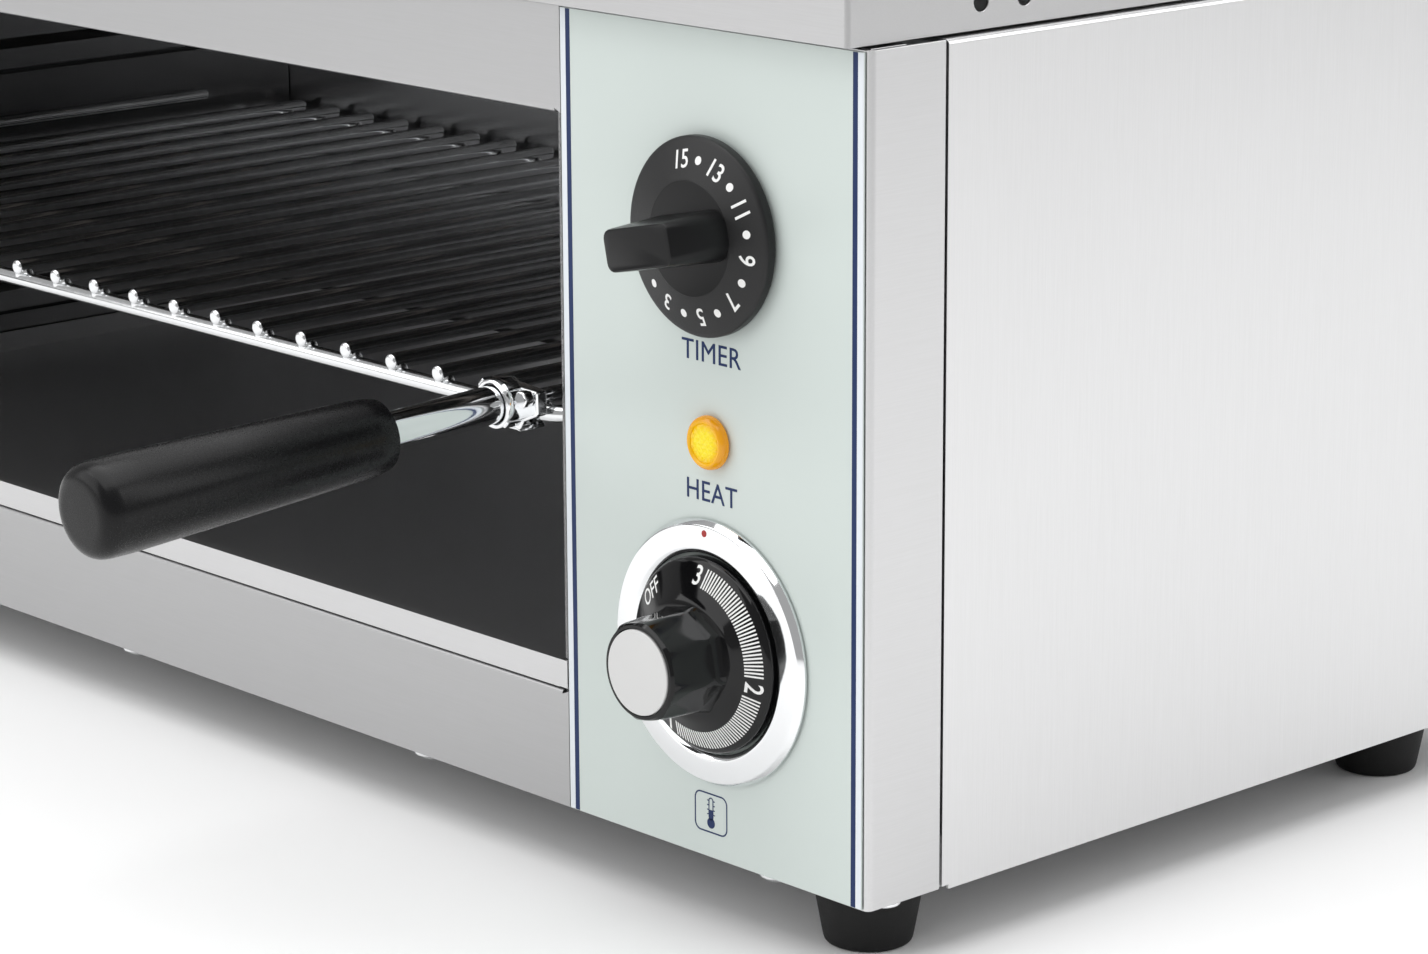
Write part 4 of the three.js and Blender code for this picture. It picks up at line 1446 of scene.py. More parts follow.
# ---- Wire rack ----------------------------------------------------------------------------------
@dataclass
class WireRack:
    """The pull-out rack: rods welded on cross rails, with two side rails."""

    first_rod: float = -269.9
    pitch: float = 21.05
    rods: int = 22
    rod_radius: float = 2.4
    rod_height: float = 114.0
    rod_front: float = 1.6
    rod_back: float = 261.0
    rail_radius: float = 2.5
    rail_height: float = 109.9
    front_rail: float = 4.2
    back_rail: float = 253.0

    def build(self) -> None:
        """Builds the rods, the rails and the welds."""
        self.rod_row()
        self.rails()
        self.welds()

    def rod_row(self) -> None:
        """The row of rods with their rounded front ends."""
        made = rod(self.rod_radius, self.rod_back - self.rod_front, 1.5, 20)
        bmesh.ops.transform(made, matrix=Matrix.Rotation(-math.pi / 2, 4, "X"), verts=made.verts)
        row = ROW.run(
            made,
            RACK_CHROME,
            Count=self.rods,
            Start=(self.first_rod, self.rod_front, self.rod_height),
            Step=(self.pitch, 0.0, 0.0),
        )
        Piece("rack_rods", RACK_CHROME, Body.RACK, replaces=("wire_rack",)).build(row)

    def rails(self) -> None:
        """The frame wire that runs round the rack."""
        low, high = extent("wire_rack")
        radius = self.rail_radius
        bend = 9.0
        x0, x1 = low.x + radius, high.x - radius
        y0, y1 = self.front_rail, self.back_rail
        z = self.rail_height
        path = []
        corners = ((x1 - bend, y1 - bend, 0), (x0 + bend, y1 - bend, 1), (x0 + bend, y0 + bend, 2))
        for x, y, quarter in (*corners, (x1 - bend, y0 + bend, 3)):
            for step in range(9):
                angle = math.pi / 2 * (quarter + step / 8)
                path.append(Vector((x + bend * math.cos(angle), y + bend * math.sin(angle), z)))
        frame_wire = ring_sweep(path, radius, 20)
        Piece("rack_frame_wire", RACK_CHROME, Body.RACK).build(frame_wire)

    def welds(self) -> None:
        """Small weld beads where the rods cross the rails."""
        beads = []
        corners = [(0, -2.6, 0), (3.0, -2.6, 1.2), (2.9, 0.2, 1.4), (1.9, 1.9, 0.8), (0, 1.9, 0)]
        for y in (self.front_rail + 0.6, self.back_rail):
            bead = turned(filleted(corners, 4), 18)
            bmesh.ops.translate(bead, vec=(0.0, y, self.rod_height - 1.6), verts=bead.verts)
            beads.append(bead)
        row = ROW.run(
            joined(beads),
            RACK_CHROME,
            Count=self.rods,
            Start=(self.first_rod, 0.0, 0.0),
            Step=(self.pitch, 0.0, 0.0),
        )
        Piece("rack_welds", RACK_CHROME, Body.RACK).build(row)


def ring_sweep(path: Sequence[Vector], radius: float, sides: int) -> bmesh.types.BMesh:
    """A round wire along a closed flat path.

    Args:
        path: The points of its middle line, without a repeated end.
        radius: The wire's radius.
        sides: Steps round it.

    Returns:
        The closed ring.
    """
    made = bmesh.new()
    count = len(path)
    rings = []
    for index, point in enumerate(path):
        along = (path[(index + 1) % count] - path[index - 1]).normalized()
        across = Vector((-along.y, along.x, 0.0))
        ring = []
        for k in range(sides):
            angle = 2 * math.pi * k / sides
            offset = across * radius * math.cos(angle) + Vector((0.0, 0.0, radius * math.sin(angle)))
            ring.append(made.verts.new(point + offset))
        rings.append(ring)
    bridged(made, [*rings, rings[0]])
    outward(made)
    return made


# ---- Handles ------------------------------------------------------------------------------------
@dataclass
class Handle:
    """One rack handle: die-cast clamp, screw, bare rod and moulded grip that droops a little."""

    side: str
    outward: int
    radius: float = 5.4
    height: float = 113.2
    droop: float = math.radians(2.7)
    pivot: float = -3.2
    rod_front: float = -136.0
    rod_back: float = -2.9
    grip_front: float = -144.3
    grip_back: float = -48.0
    grip_back_radius: float = 10.8
    grip_front_radius: float = 13.0
    collar: float = 7.4
    finger_inset: float = 8.9
    nut_radius: float = 2.6

    def build(self) -> None:
        """Builds the handle's pieces."""
        x, _ = middle_of(f"handle_clamp_{self.side}")
        self.rod(x)
        self.grip(x)
        self.clamp(x)
        self.nut()

    def drooped(self, made: bmesh.types.BMesh, x: float, back: float) -> bmesh.types.BMesh:
        """Lays a turned shape along the handle's drooping axis.

        Args:
            made: The shape, whose height runs along +Z.
            x: Where the handle stands across.
            back: The Y of the shape's rear end before it droops.

        Returns:
            The same shape.
        """
        to_front(made, x, self.height)
        centre = Matrix.Translation((0.0, self.pivot, self.height))
        turn = centre @ Matrix.Rotation(self.droop, 4, "X") @ centre.inverted()
        bmesh.ops.transform(made, matrix=turn @ Matrix.Translation((0.0, back, 0.0)), verts=made.verts)
        return made

    def rod(self, x: float) -> None:
        """The bare rod between clamp and grip.

        Args:
            x: Where it stands across.
        """
        made = self.drooped(rod(self.radius, self.rod_back - self.rod_front, 0.6, 32), x, self.rod_back)
        name = f"handle_rod_{self.side}"
        Piece(f"handle_bar_{self.side}", CHROME, Body.RACK, replaces=(name,)).build(made)

    def grip(self, x: float) -> None:
        """The moulded grip: slightly tapered, with a full round end.

        Args:
            x: Where it stands across.
        """
        length = self.grip_back - self.grip_front
        bore = self.radius + 0.25
        back, front = self.grip_back_radius, self.grip_front_radius
        corners = [
            (0.0, 40.0, 0.0),
            (bore, 40.0, 0.0),
            (bore, 0.6, 0.3),
            (bore + 1.2, 0.0, 0.4),
            (back - 0.9, 0.0, 0.6),
            (back, 4.6, 2.2),
            (front, length - 11.0, 6.0),
            (front - 0.3, length, 9.6),
            (0.0, length, 0.0),
        ]
        made = self.drooped(turned(filleted(corners, 10), 96), x, self.grip_back)
        name = f"handle_grip_{self.side}"
        Piece(f"grip_{self.side}", GRIP_BLACK, Body.RACK, replaces=(name,), crease=50.0).build(made)

    def clamp(self, x: float) -> None:
        """The cast clamp: a split collar, a backing plate, a finger over the rail and a tab below it.

        Args:
            x: Where it stands across.
        """
        bottom = extent(f"handle_clamp_{self.side}")[0].z
        z = self.height
        out = self.outward
        plate = [(-12.4, 1.0), (-9.5, 4.2), (-4.0, 5.6), (5.0, 5.0), (12.6, 4.4), (12.8, -2.4)]
        plate += [(7.0, -4.8), (5.2, -7.6), (-5.6, -7.8), (-7.4, -3.6), (-12.2, -2.2)]
        body = prism([(x + out * px, z + pz) for px, pz in plate], -3.0, 1.1)
        inner = x - out * self.finger_inset
        hooked = [(-3.6, -0.1), (-3.2, 3.6), (1.0, 4.6), (3.8, 3.2), (3.8, -0.1)]
        finger = prism([(inner + px, z + pz) for px, pz in hooked], -3.1, 6.4)
        lower = [(-5.8, 0.0), (5.8, 0.0), (4.6, 1.5), (-4.6, 1.5)]
        tab = prism([(x + px, bottom + pz) for px, pz in lower], -3.1, 6.6)
        bore, collar = self.radius + 0.28, self.collar
        ring = [(bore, 2.4, 0.2), (collar, 2.4, 0.4), (collar, 6.4, 0.5), (collar - 0.5, 8.3, 0.5)]
        ring += [(bore + 0.2, 8.3, 0.4), (bore, 7.6, 0.2)]
        socket = self.drooped(turned(filleted([*ring, ring[0]], 3), 48), x, 0.0)
        parts = [body, finger, tab]
        for quarter in range(4):
            angle = math.radians(45 + 90 * quarter)
            jaw = block((-1.5, -8.0, 6.4), (1.5, -2.6, 7.9))
            bmesh.ops.rotate(jaw, cent=(0, 0, 0), matrix=Matrix.Rotation(angle, 3, "Y"), verts=jaw.verts)
            bmesh.ops.translate(jaw, vec=(x, 0.0, z), verts=jaw.verts)
            parts.append(jaw)
        clamp = Piece(f"clamp_{self.side}", CHROME, Body.RACK, bevel=0.7, bevel_steps=3)
        clamp.replaces = (f"handle_clamp_{self.side}",)
        clamp.build(joined(parts))
        Piece(f"clamp_collar_{self.side}", CHROME, Body.RACK).build(socket)

    def nut(self) -> None:
        """The clamp's hexagon screw head, chamfered, on its shank."""
        low, high = extent(f"handle_screw_{self.side}")
        x, z = (low.x + high.x) / 2, (low.z + high.z) / 2
        radius = self.nut_radius
        angles = [math.pi / 3 * k for k in range(6)]
        corners = [(x + radius * math.cos(a), z + radius * math.sin(a)) for a in angles]
        head = prism(corners, -6.6, -3.3)
        shank = rod(1.5, high.y + 3.6, 0.5, 20)
        to_front(shank, x, z)
        bmesh.ops.translate(shank, vec=(0.0, high.y, 0.0), verts=shank.verts)
        screw = Piece(f"clamp_screw_{self.side}", CHROME, Body.RACK, bevel=0.45)
        screw.replaces = (f"handle_screw_{self.side}",)
        screw.build(joined([head, shank]))


# ---- Crumb tray ---------------------------------------------------------------------------------
@dataclass
class CrumbTray:
    """The tray that slides under the rack, with a rolled front lip."""

    edge: float = 0.28

    def build(self) -> None:
        """Builds the tray from its frame shape, with eased edges."""
        Piece("tray_sheet", TRAY_STEEL, Body.TRAY, bevel=self.edge, bevel_steps=2).copied("crumb_tray")


# ---- Heating elements ---------------------------------------------------------------------------
@dataclass
class HeatingElements:
    """Two hairpin elements under the reflector."""

    radius: float = 4.0
    height: float = 204.0
    span: float = 58.0
    terminal: float = 203.0

    def build(self) -> None:
        """Builds both hairpins with their terminal pins."""
        for name in ("front", "rear"):
            low, _ = extent(f"heating_element_{name}")
            self.hairpin(name, low.x + self.radius, low.y + self.radius)

    def hairpin(self, name: str, left: float, y: float) -> None:
        """One hairpin.

        Args:
            name: Which of the two it is.
            left: The middle line of its bend at the far left.
            y: Its front leg.
        """
        half = self.span / 2
        leg_end = extent("control_panel")[0].x + 2
        path = [Vector((leg_end, y, self.height))]
        for step in range(33):
            angle = math.pi / 2 + math.pi * step / 32
            x = left + half + half * math.cos(angle)
            path.append(Vector((x, y + half - half * math.sin(angle), self.height)))
        path.append(Vector((leg_end, y + self.span, self.height)))
        parts = [swept(path, self.radius - 0.05, 24)]
        for leg in (y, y + self.span):
            ends = [Vector((x, leg, self.height)) for x in (leg_end - 2, self.terminal)]
            parts.append(swept(ends, 1.6, 16))
        Piece(f"element_{name}", SHEATH, replaces=(f"heating_element_{name}",)).build(joined(parts))


# ---- Control panel ------------------------------------------------------------------------------
@dataclass
class ControlPanel:
    """The folded control box front with its printed film."""

    centre: float = 247.1
    film_front: float = -0.7
    border: float = 2.15
    stripe: float = 1.75
    capital: float = 4.8
    print_half: float = 0.06
    sign: tuple[float, float] = (246.05, 12.85)
    sign_shape: Point = (6.4, 5.6, 2.3)
    labels: tuple[tuple[str, float, float], ...] = (("TIMER", 22.6, 139.1), ("HEAT", 19.3, 101.6))

    def build(self) -> None:
        """Builds the sheet, the film and the print; a label has its text, its width and its height."""
        self.sheet()
        self.film()
        self.print_labels()
        self.thermometer()

    def sheet(self) -> None:
        """The steel front, bent round the right corner."""
        low, high = extent("control_panel")
        x0, x1 = low.x, high.x
        z0, z1 = low.z, high.z
        deep = high.y
        left_depth, top_depth = 18.0, 15.0
        sheet = FoldedSheet(bend=1.9)
        foot = z0 + 3.0
        front = [(x0, 0.0, z0), (x1, 0.0, z0), (x1, 0.0, z1), (x0, 0.0, z1), (x0, 0.0, foot)]
        sheet.face(Facing.FRONT, *front)
        sheet.face(Facing.RIGHT, (x1, 0.0, z0), (x1, deep, z0), (x1, deep, z1), (x1, 0.0, z1))
        left = [(x0, 0.0, foot), (x0, left_depth, foot), (x0, left_depth, z1), (x0, 0.0, z1)]
        sheet.face(Facing.LEFT, *left)
        in0, in1 = x0 + 0.5, x1 - 2.6
        sheet.face(Facing.UP, (in0, 2.4, z1), (in1, 2.4, z1), (in1, top_depth, z1), (in0, top_depth, z1))
        piece = Piece("control_box_sheet", PANEL_STEEL, shell=SHEET, bevel=0.16)
        piece.replaces = ("control_panel",)
        piece.build(sheet.make())

    def film(self) -> None:
        """The film: the frame's own plate, with paler strips outside the two stripes."""
        dress("panel_film", FILM)
        low, high = extent("panel_film")
        bottom, top = low.z + 0.1, high.z - 0.1
        strips = []
        stripes = []
        for edge, inner in ((low.x, 1), (high.x, -1)):
            near, far = edge + inner * 0.1, edge + inner * self.border
            end = far + inner * self.stripe
            strips.append(block((min(near, far), -0.74, bottom), (max(near, far), -0.6, top)))
            stripes.append(block((min(far, end), -0.76, bottom), (max(far, end), -0.6, top)))
        Piece("film_border", FILM_EDGE, bevel=0.03, bevel_steps=1).build(joined(strips))
        Piece("film_stripes", NAVY_INK, bevel=0.03, bevel_steps=1).build(joined(stripes))

    def print_labels(self) -> None:
        """The two words that name the controls."""
        style = Lettering(self.capital, spacing=1.05)
        words = []
        for text, width, z in self.labels:
            word = style.cut(text)
            low = min(v.co.x for v in word.verts)
            high = max(v.co.x for v in word.verts)
            stretch = Matrix.Diagonal((width / (high - low), 1.0, 1.0, 1.0))
            centred = Matrix.Translation((-(low + high) / 2, 0.0, 0.0))
            place = Matrix.Translation((self.centre, self.film_front, z))
            bmesh.ops.transform(word, matrix=place @ stretch @ centred, verts=word.verts)
            words.append(word)
        Piece("control_labels", NAVY_INK).build(joined(words))

    def thermometer(self) -> None:
        """The thermometer sign in its rounded frame."""
        x, z = self.sign
        front, back = self.film_front - self.print_half, self.film_front + self.print_half
        frame_line = self.outline(x, z, self.sign_shape, 0.42)
        stem = self.outline(x, z + 1.2, (0.95, 3.2, 0.94), 0.33)
        bulb = turned([(0.0, -0.08), (1.5, -0.08), (1.5, 0.06), (0.0, 0.06)], 28)
        to_front(bulb, x, z - 2.8)
        bmesh.ops.translate(bulb, vec=(0.0, self.film_front, 0.0), verts=bulb.verts)
        filled = block((x - 0.64, front + 0.01, z - 2.6), (x + 0.64, back, z + 0.9))
        mark = block((x - 1.5, front, z + 3.3), (x - 0.93, back, z + 3.6))
        marks = opened(ROW.run(mark, NAVY_INK, Count=4, Start=ORIGIN, Step=(0.0, 0.0, -1.28)))
        right = marks.copy()
        bmesh.ops.translate(right, vec=(2.43, 0.0, 0.0), verts=right.verts)
        Piece("temperature_sign", NAVY_INK).build(joined([frame_line, stem, bulb, filled, marks, right]))

    def outline(self, x: float, z: float, shape: Point, line: float) -> bmesh.types.BMesh:
        """A printed line round a rectangle with round corners.

        Args:
            x: Its middle across.
            z: Its middle up.
            shape: Half width, half height and corner radius of its outer edge.
            line: How broad the line is.

        Returns:
            The line, as a thin closed ring.
        """
        front, back = self.film_front - self.print_half, self.film_front + self.print_half
        outer = rounded_rectangle(*shape)
        inner = rounded_rectangle(shape[0] - line, shape[1] - line, max(0.02, shape[2] - line))
        made = bmesh.new()
        rings = []
        for points, y in ((outer, front), (inner, front), (inner, back), (outer, back)):
            rings.append([made.verts.new((x + px, y, z + pz)) for px, pz in points])
        rings.append(rings[0])
        bridged(made, rings)
        outward(made)
        return made


def rounded_rectangle(half_width: float, half_height: float, corner: float) -> list[tuple[float, float]]:
    """The outline of a rectangle with round corners, round the origin.

    Args:
        half_width: Half of its width.
        half_height: Half of its height.
        corner: Its corners' radius.

    Returns:
        Its points, anticlockwise.
    """
    points = []
    places = ((1, 1, 0), (-1, 1, 1), (-1, -1, 2), (1, -1, 3))
    for sign_x, sign_z, quarter in places:
        for step in range(7):
            angle = math.pi / 2 * (quarter + step / 6)
            px = sign_x * (half_width - corner) + corner * math.cos(angle)
            pz = sign_z * (half_height - corner) + corner * math.sin(angle)
            points.append((px, pz))
    return points


# ---- Timer --------------------------------------------------------------------------------------
@dataclass
class Timer:
    """The timer knob: a round coned skirt with figures, a dark boss and a bar grip."""

    skirt: float = 26.4
    rim: float = 5.0
    boss: float = 15.3
    rise: float = 7.8
    turn: float = -12.5
    dot: float = 1.12
    figure_height: float = 4.1
    figure_radius: float = 20.6
    first_figure: float = -12.1
    minute: float = 18.38
    x: float = field(init=False)
    z: float = field(init=False)

    def build(self) -> None:
        """Builds the knob, its print and what is behind it."""
        self.x, self.z = middle_of("timer_knob")
        self.knob()
        self.figures()
        dress("timer_shaft", ZINC)
        Piece("timer_case", ZINC, bevel=0.6).copied("timer_body")

    def skirt_profile(self) -> Profile:
        """The skirt's rounded profile, from its rear to its middle."""
        r = self.skirt
        corners = [
            (0.0, 1.25, 0.0),
            (r - 0.7, 1.25, 0.4),
            (r, 2.0, 0.6),
            (r, self.rim - 0.5, 0.6),
            (r - 0.9, self.rim, 0.6),
            (self.boss, self.rise, 0.2),
            (0.0, self.rise, 0.0),
        ]
        return filleted(corners, 4)

    def knob(self) -> None:
        """The moulded knob."""
        disc = to_front(turned(self.skirt_profile(), 96), self.x, self.z)
        Piece("timer_skirt", KNOB_BLACK, Body.TIMER, replaces=("timer_knob",), crease=50.0).build(disc)
        low, top = self.rise - 0.6, self.rise + 0.12
        corners = [(0.0, low, 0.0), (self.boss, low, 0.0), (self.boss, top, 0.3), (0.0, top + 0.1, 0.0)]
        boss = to_front(turned(filleted(corners, 4), 96), self.x, self.z)
        Piece("timer_boss", BOSS_BLACK, Body.TIMER, crease=50.0).build(boss)
        front = extent("timer_knob")[0].y
        base = rounded_rectangle(15.2, 6.9, 5.2)
        tip = rounded_rectangle(12.85, 5.7, 2.6)
        made = bmesh.new()
        layers = [(base, 0.3 - self.rise, 1.0), (tip, front + 1.1, 1.0)]
        layers += [(tip, front + 0.3, 0.97), (tip, front, 0.9)]
        rings = []
        for outline, y, share in layers:
            rings.append([made.verts.new((px * share, y, pz * share)) for px, pz in outline])
        bridged(made, rings)
        made.faces.new(rings[0])
        made.faces.new(rings[-1])
        turn = Matrix.Rotation(math.radians(self.turn), 4, "Y")
        place = Matrix.Translation((self.x, 0.0, self.z)) @ turn
        bmesh.ops.transform(made, matrix=place, verts=made.verts)
        outward(made)
        Piece("timer_grip", BOSS_BLACK, Body.TIMER, crease=30.0).build(made)

    def figures(self) -> None:
        """Odd minutes round the skirt, with a dot between each two."""
        style = Lettering(self.figure_height, width=0.92, weight=0.016)
        surface = on_profile(self.skirt_profile())
        cuts = []
        for place, minutes in enumerate(range(15, 1, -2)):
            turn = math.radians(self.first_figure + 2 * self.minute * place)
            cuts.append(style.cut(str(minutes), turn, self.figure_radius))
        dot = to_front(printed_dot(self.dot), 0.0, self.figure_radius)
        dots = RING.run(
            dot,
            WHITE_INK,
            Count=7,
            Centre=ORIGIN,
            First=math.radians(self.first_figure + self.minute),
            Turn=math.radians(2 * self.minute),
        )
        laid = laid_on(joined([*cuts, opened(dots)]), surface, self.x, self.z)
        Piece("timer_figures", WHITE_INK, Body.TIMER).build(laid)


# ---- Heat regulator -----------------------------------------------------------------------------
@dataclass
class Regulator:
    """The heat regulator: chrome bezel, gloss black dial, faceted grip and white cap."""

    bezel: float = 36.4
    dial: float = 26.6
    grip: float = 14.3
    cap: float = 11.5
    flats: int = 8
    first_corner: float = math.radians(35.0)
    apothem: float = 0.94
    index: float = 0.95
    index_inset: float = 3.3
    figure_radius: float = 22.7
    tick_half: float = 0.23
    tick_inner: float = 20.0
    tick_outer: float = 24.9
    x: float = field(init=False)
    z: float = field(init=False)

    def build(self) -> None:
        """Builds the bezel, the knob, its print and what is behind it."""
        self.x, self.z = middle_of("regulator_bezel")
        self.bezel_ring()
        self.dial_face()
        self.grip_body()
        self.print_dial()
        dress("regulator_shaft", ZINC)
        Piece("regulator_case", CONTROL_BLACK, bevel=0.6).copied("regulator_body")

    def bezel_ring(self) -> None:
        """The broad chrome ring with a bevelled rim and its small red index."""
        inner = self.dial + 0.75
        corners = [
            (inner, 1.05, 0.0),
            (self.bezel - 0.1, 1.05, 0.2),
            (self.bezel, 1.9, 0.3),
            (self.bezel - 1.3, 3.6, 0.35),
            (inner + 1.4, 4.0, 0.5),
            (inner, 3.0, 0.4),
            (inner, 1.05, 0.0),
        ]
        profile = filleted(corners, 4)
        made = to_front(turned(profile, 128), self.x, self.z)
        Piece("heat_bezel", BEZEL_CHROME, replaces=("regulator_bezel",), crease=30.0).build(made)
        dot = to_front(printed_dot(self.index), 0.0, self.bezel - self.index_inset)
        laid = laid_on(dot, on_profile(profile), self.x, self.z)
        Piece("heat_index", RED_INK).build(laid)

    def dial_profile(self) -> Profile:
        """The dial's profile: a deep rim, then a cone that rises to the grip."""
        r = self.dial
        corners = [
            (0.0, 1.35, 0.0),
            (r - 0.3, 1.35, 0.2),
            (r, 1.9, 0.3),
            (r, 4.6, 0.6),
            (r - 0.8, 5.4, 0.5),
            (self.grip + 2.2, 9.7, 1.2),
            (self.grip, 10.2, 0.5),
            (0.0, 10.2, 0.0),
        ]
        return filleted(corners, 4)

    def dial_face(self) -> None:
        """The gloss black dial."""
        made = to_front(turned(self.dial_profile(), 128), self.x, self.z)
        face = Piece("heat_dial_face", DIAL_BLACK, Body.HEAT, replaces=("regulator_knob",), crease=40.0)
        face.build(made)

    def grip_body(self) -> None:
        """The faceted grip, flared at its foot, with a recess for the white cap."""
        front = -extent("regulator_knob")[0].y
        layers = [
            (self.grip + 1.3, 9.0, 1.0),
            (self.grip + 0.6, 10.9, 1.0),
            (self.grip + 0.1, 13.2, 1.0),
            (self.grip - 0.5, front - 2.8, 1.0),
            (self.grip - 0.8, front - 1.0, 0.6),
            (self.grip - 1.7, front - 0.1, 0.0),
            (self.cap + 0.35, front - 0.05, 0.0),
            (self.cap + 0.3, front - 1.2, 0.0),
        ]
        sides = 144
        made = bmesh.new()
        rings = []
        for radius, height, faceted in layers:
            ring = []
            for k in range(sides):
                angle = 2 * math.pi * k / sides
                span = 2 * math.pi / self.flats
                within = ((angle - self.first_corner) % span) - span / 2
                lobe = min(1.0, self.apothem / math.cos(within))
                r = radius * (1 + faceted * (lobe - 1))
                ring.append(made.verts.new((r * math.cos(angle), r * math.sin(angle), height)))
            rings.append(ring)
        bridged(made, rings)
        made.faces.new(rings[0])
        made.faces.new(rings[-1])
        outward(made)
        to_front(made, self.x, self.z)
        Piece("heat_grip", DIAL_BLACK, Body.HEAT, crease=24.0).build(made)
        corners = [(0.0, front - 1.1, 0.0), (self.cap, front - 1.1, 0.1)]
        corners += [(self.cap, front + 0.35, 0.35), (0.0, front + 0.55, 0.0)]
        disc = to_front(turned(filleted(corners, 4), 72), self.x, self.z)
        Piece("heat_cap", CAP_WHITE, Body.HEAT, replaces=("regulator_cap",)).build(disc)

    def print_dial(self) -> None:
        """OFF, the three figures and the fine scale between them."""
        surface = on_profile(self.dial_profile())
        figures = Lettering(4.2, width=0.95, weight=0.016)
        small = Lettering(4.0, width=0.72, weight=0.006)
        cuts = [
            small.cut("OFF", math.radians(-50.5), self.figure_radius),
            figures.cut("3", math.radians(2.5), self.figure_radius),
            figures.cut("2", math.radians(100.0), self.figure_radius),
            figures.cut("1", math.radians(206.5), self.figure_radius),
        ]
        half = self.tick_half
        for first, last, count in ((9.5, 91.5, 34), (108.0, 199.5, 38)):
            ring = RING.run(
                block((-half, -0.1, self.tick_inner), (half, 0.1, self.tick_outer)),
                WHITE_INK,
                Count=count,
                Centre=ORIGIN,
                First=math.radians(first),
                Turn=math.radians((last - first) / (count - 1)),
            )
            cuts.append(opened(ring))
        laid = laid_on(joined(cuts), surface, self.x, self.z)
        Piece("heat_scale", WHITE_INK, Body.HEAT).build(laid)


# ---- Pilot lamp ---------------------------------------------------------------------------------
@dataclass
class PilotLamp:
    """The amber pilot lamp with its cross-cut lens."""

    radius: float = 7.3
    window: float = 5.3
    window_front: float = 3.45
    window_back: float = 1.2
    dome: float = 0.3
    peak: float = 0.32
    pitch: float = 1.7
    x: float = field(init=False)
    z: float = field(init=False)

    def build(self) -> None:
        """Builds the rim, the cut window and the lamp's body."""
        self.x, self.z = middle_of("pilot_lamp_lens")
        centre = tuple(TO_FRAME @ Vector((self.x, -4.0, self.z)))
        lens = LitLens("amber_lens", "lamp_amber", centre, self.radius * MM)
        corners = [
            (self.window - 0.3, 1.15, 0.0),
            (self.radius - 0.2, 1.15, 0.2),
            (self.radius, 1.6, 0.3),
            (self.radius - 0.2, 3.2, 0.7),
            (self.radius - 1.3, 4.15, 0.6),
            (self.window, 3.7, 0.3),
            (self.window - 0.3, 1.15, 0.0),
        ]
        rim = to_front(turned(filleted(corners, 4), 64), self.x, self.z)
        Piece("lamp_rim", lens, replaces=("pilot_lamp_lens",), crease=40.0).build(rim)
        Piece("lamp_window", lens, crease=12.0).build(self.facets())
        dress("pilot_lamp_body", CONTROL_BLACK)

    def facets(self) -> bmesh.types.BMesh:
        """The window's face: rows of small pyramids turned by an eighth, on a slight dome."""
        made = bmesh.new()
        step = self.pitch / 2
        reach = math.ceil(math.sqrt(2) * (self.window / step + 1))
        grid: dict[tuple[int, int], bmesh.types.BMVert] = {}
        for i in range(-reach, reach + 1):
            for j in range(-reach, reach + 1):
                u, v = i * step, j * step
                px, pz = (u - v) * math.sqrt(0.5), (u + v) * math.sqrt(0.5)
                away = math.hypot(px, pz)
                if away > self.window + step:
                    continue
                peak = self.peak if (i % 2 and j % 2) else 0.0
                if away > self.window:
                    px, pz = px * self.window / away, pz * self.window / away
                    peak = 0.0
                dome = self.dome * (1 - min(1.0, away / self.window) ** 2)
                front = self.window_front + dome + peak
                grid[(i, j)] = made.verts.new((self.x + px, -front, self.z + pz))
        for i, j in grid:
            square = [grid.get(key) for key in ((i, j), (i + 1, j), (i + 1, j + 1), (i, j + 1))]
            if None not in square:
                peaks = (i % 2 and j % 2) or ((i + 1) % 2 and (j + 1) % 2)
                halves = ((0, 1, 2), (0, 2, 3)) if peaks else ((0, 1, 3), (1, 2, 3))
                for corners in halves:
                    made.faces.new([square[k] for k in corners])
        rim = border_of(made)
        back = [made.verts.new((vert.co.x, -self.window_back, vert.co.z)) for vert in rim]
        bridged(made, (rim, back))
        made.faces.new(back)
        bmesh.ops.recalc_face_normals(made, faces=made.faces)
        return made


# ---- Wiring and rear ----------------------------------------------------------------------------
class Wiring:
    """The terminal block, three leads and the cable gland."""

    def build(self) -> None:
        """Builds the block, the leads and the gland."""
        Piece("terminal_strip", CERAMIC, bevel=0.6, bevel_steps=3).copied("terminal_block")
        for node, finish in (
            ("wire_to_timer", RED_WIRE),
            ("wire_to_regulator", BLUE_WIRE),
            ("wire_to_element", RED_WIRE),
        ):
            Piece(node.replace("wire", "lead"), finish, crease=70.0).copied(node)
        self.gland()

    def gland(self) -> None:
        """The gland: a round collar, a stepped nose and a bore; the collar's flats are not modelled."""
        low, high = extent("cable_gland")
        x, z = middle_of("cable_gland")
        back = high.y
        wall = extent("rear_panel")[1].y
        bore, neck, collar = 4.1, 7.9, 10.8
        corners = [
            (bore, low.y, 0.0),
            (neck, low.y, 0.4),
            (neck, wall + 0.35, 0.0),
            (collar, wall + 0.35, 0.3),
            (collar, wall + 5.8, 0.8),
            (8.6, wall + 6.6, 0.4),
            (8.4, back - 1.5, 0.8),
            (7.0, back, 0.6),
            (bore + 0.4, back, 0.3),
            (bore, back - 0.6, 0.2),
            (bore, low.y, 0.0),
        ]
        made = turned(filleted(corners, 4), 48)
        turn = Matrix.Translation((x, 0.0, z)) @ Matrix.Rotation(-math.pi / 2, 4, "X")
        bmesh.ops.transform(made, matrix=turn, verts=made.verts)
        Piece("gland_body", CONTROL_BLACK, replaces=("cable_gland",), crease=40.0).build(made)


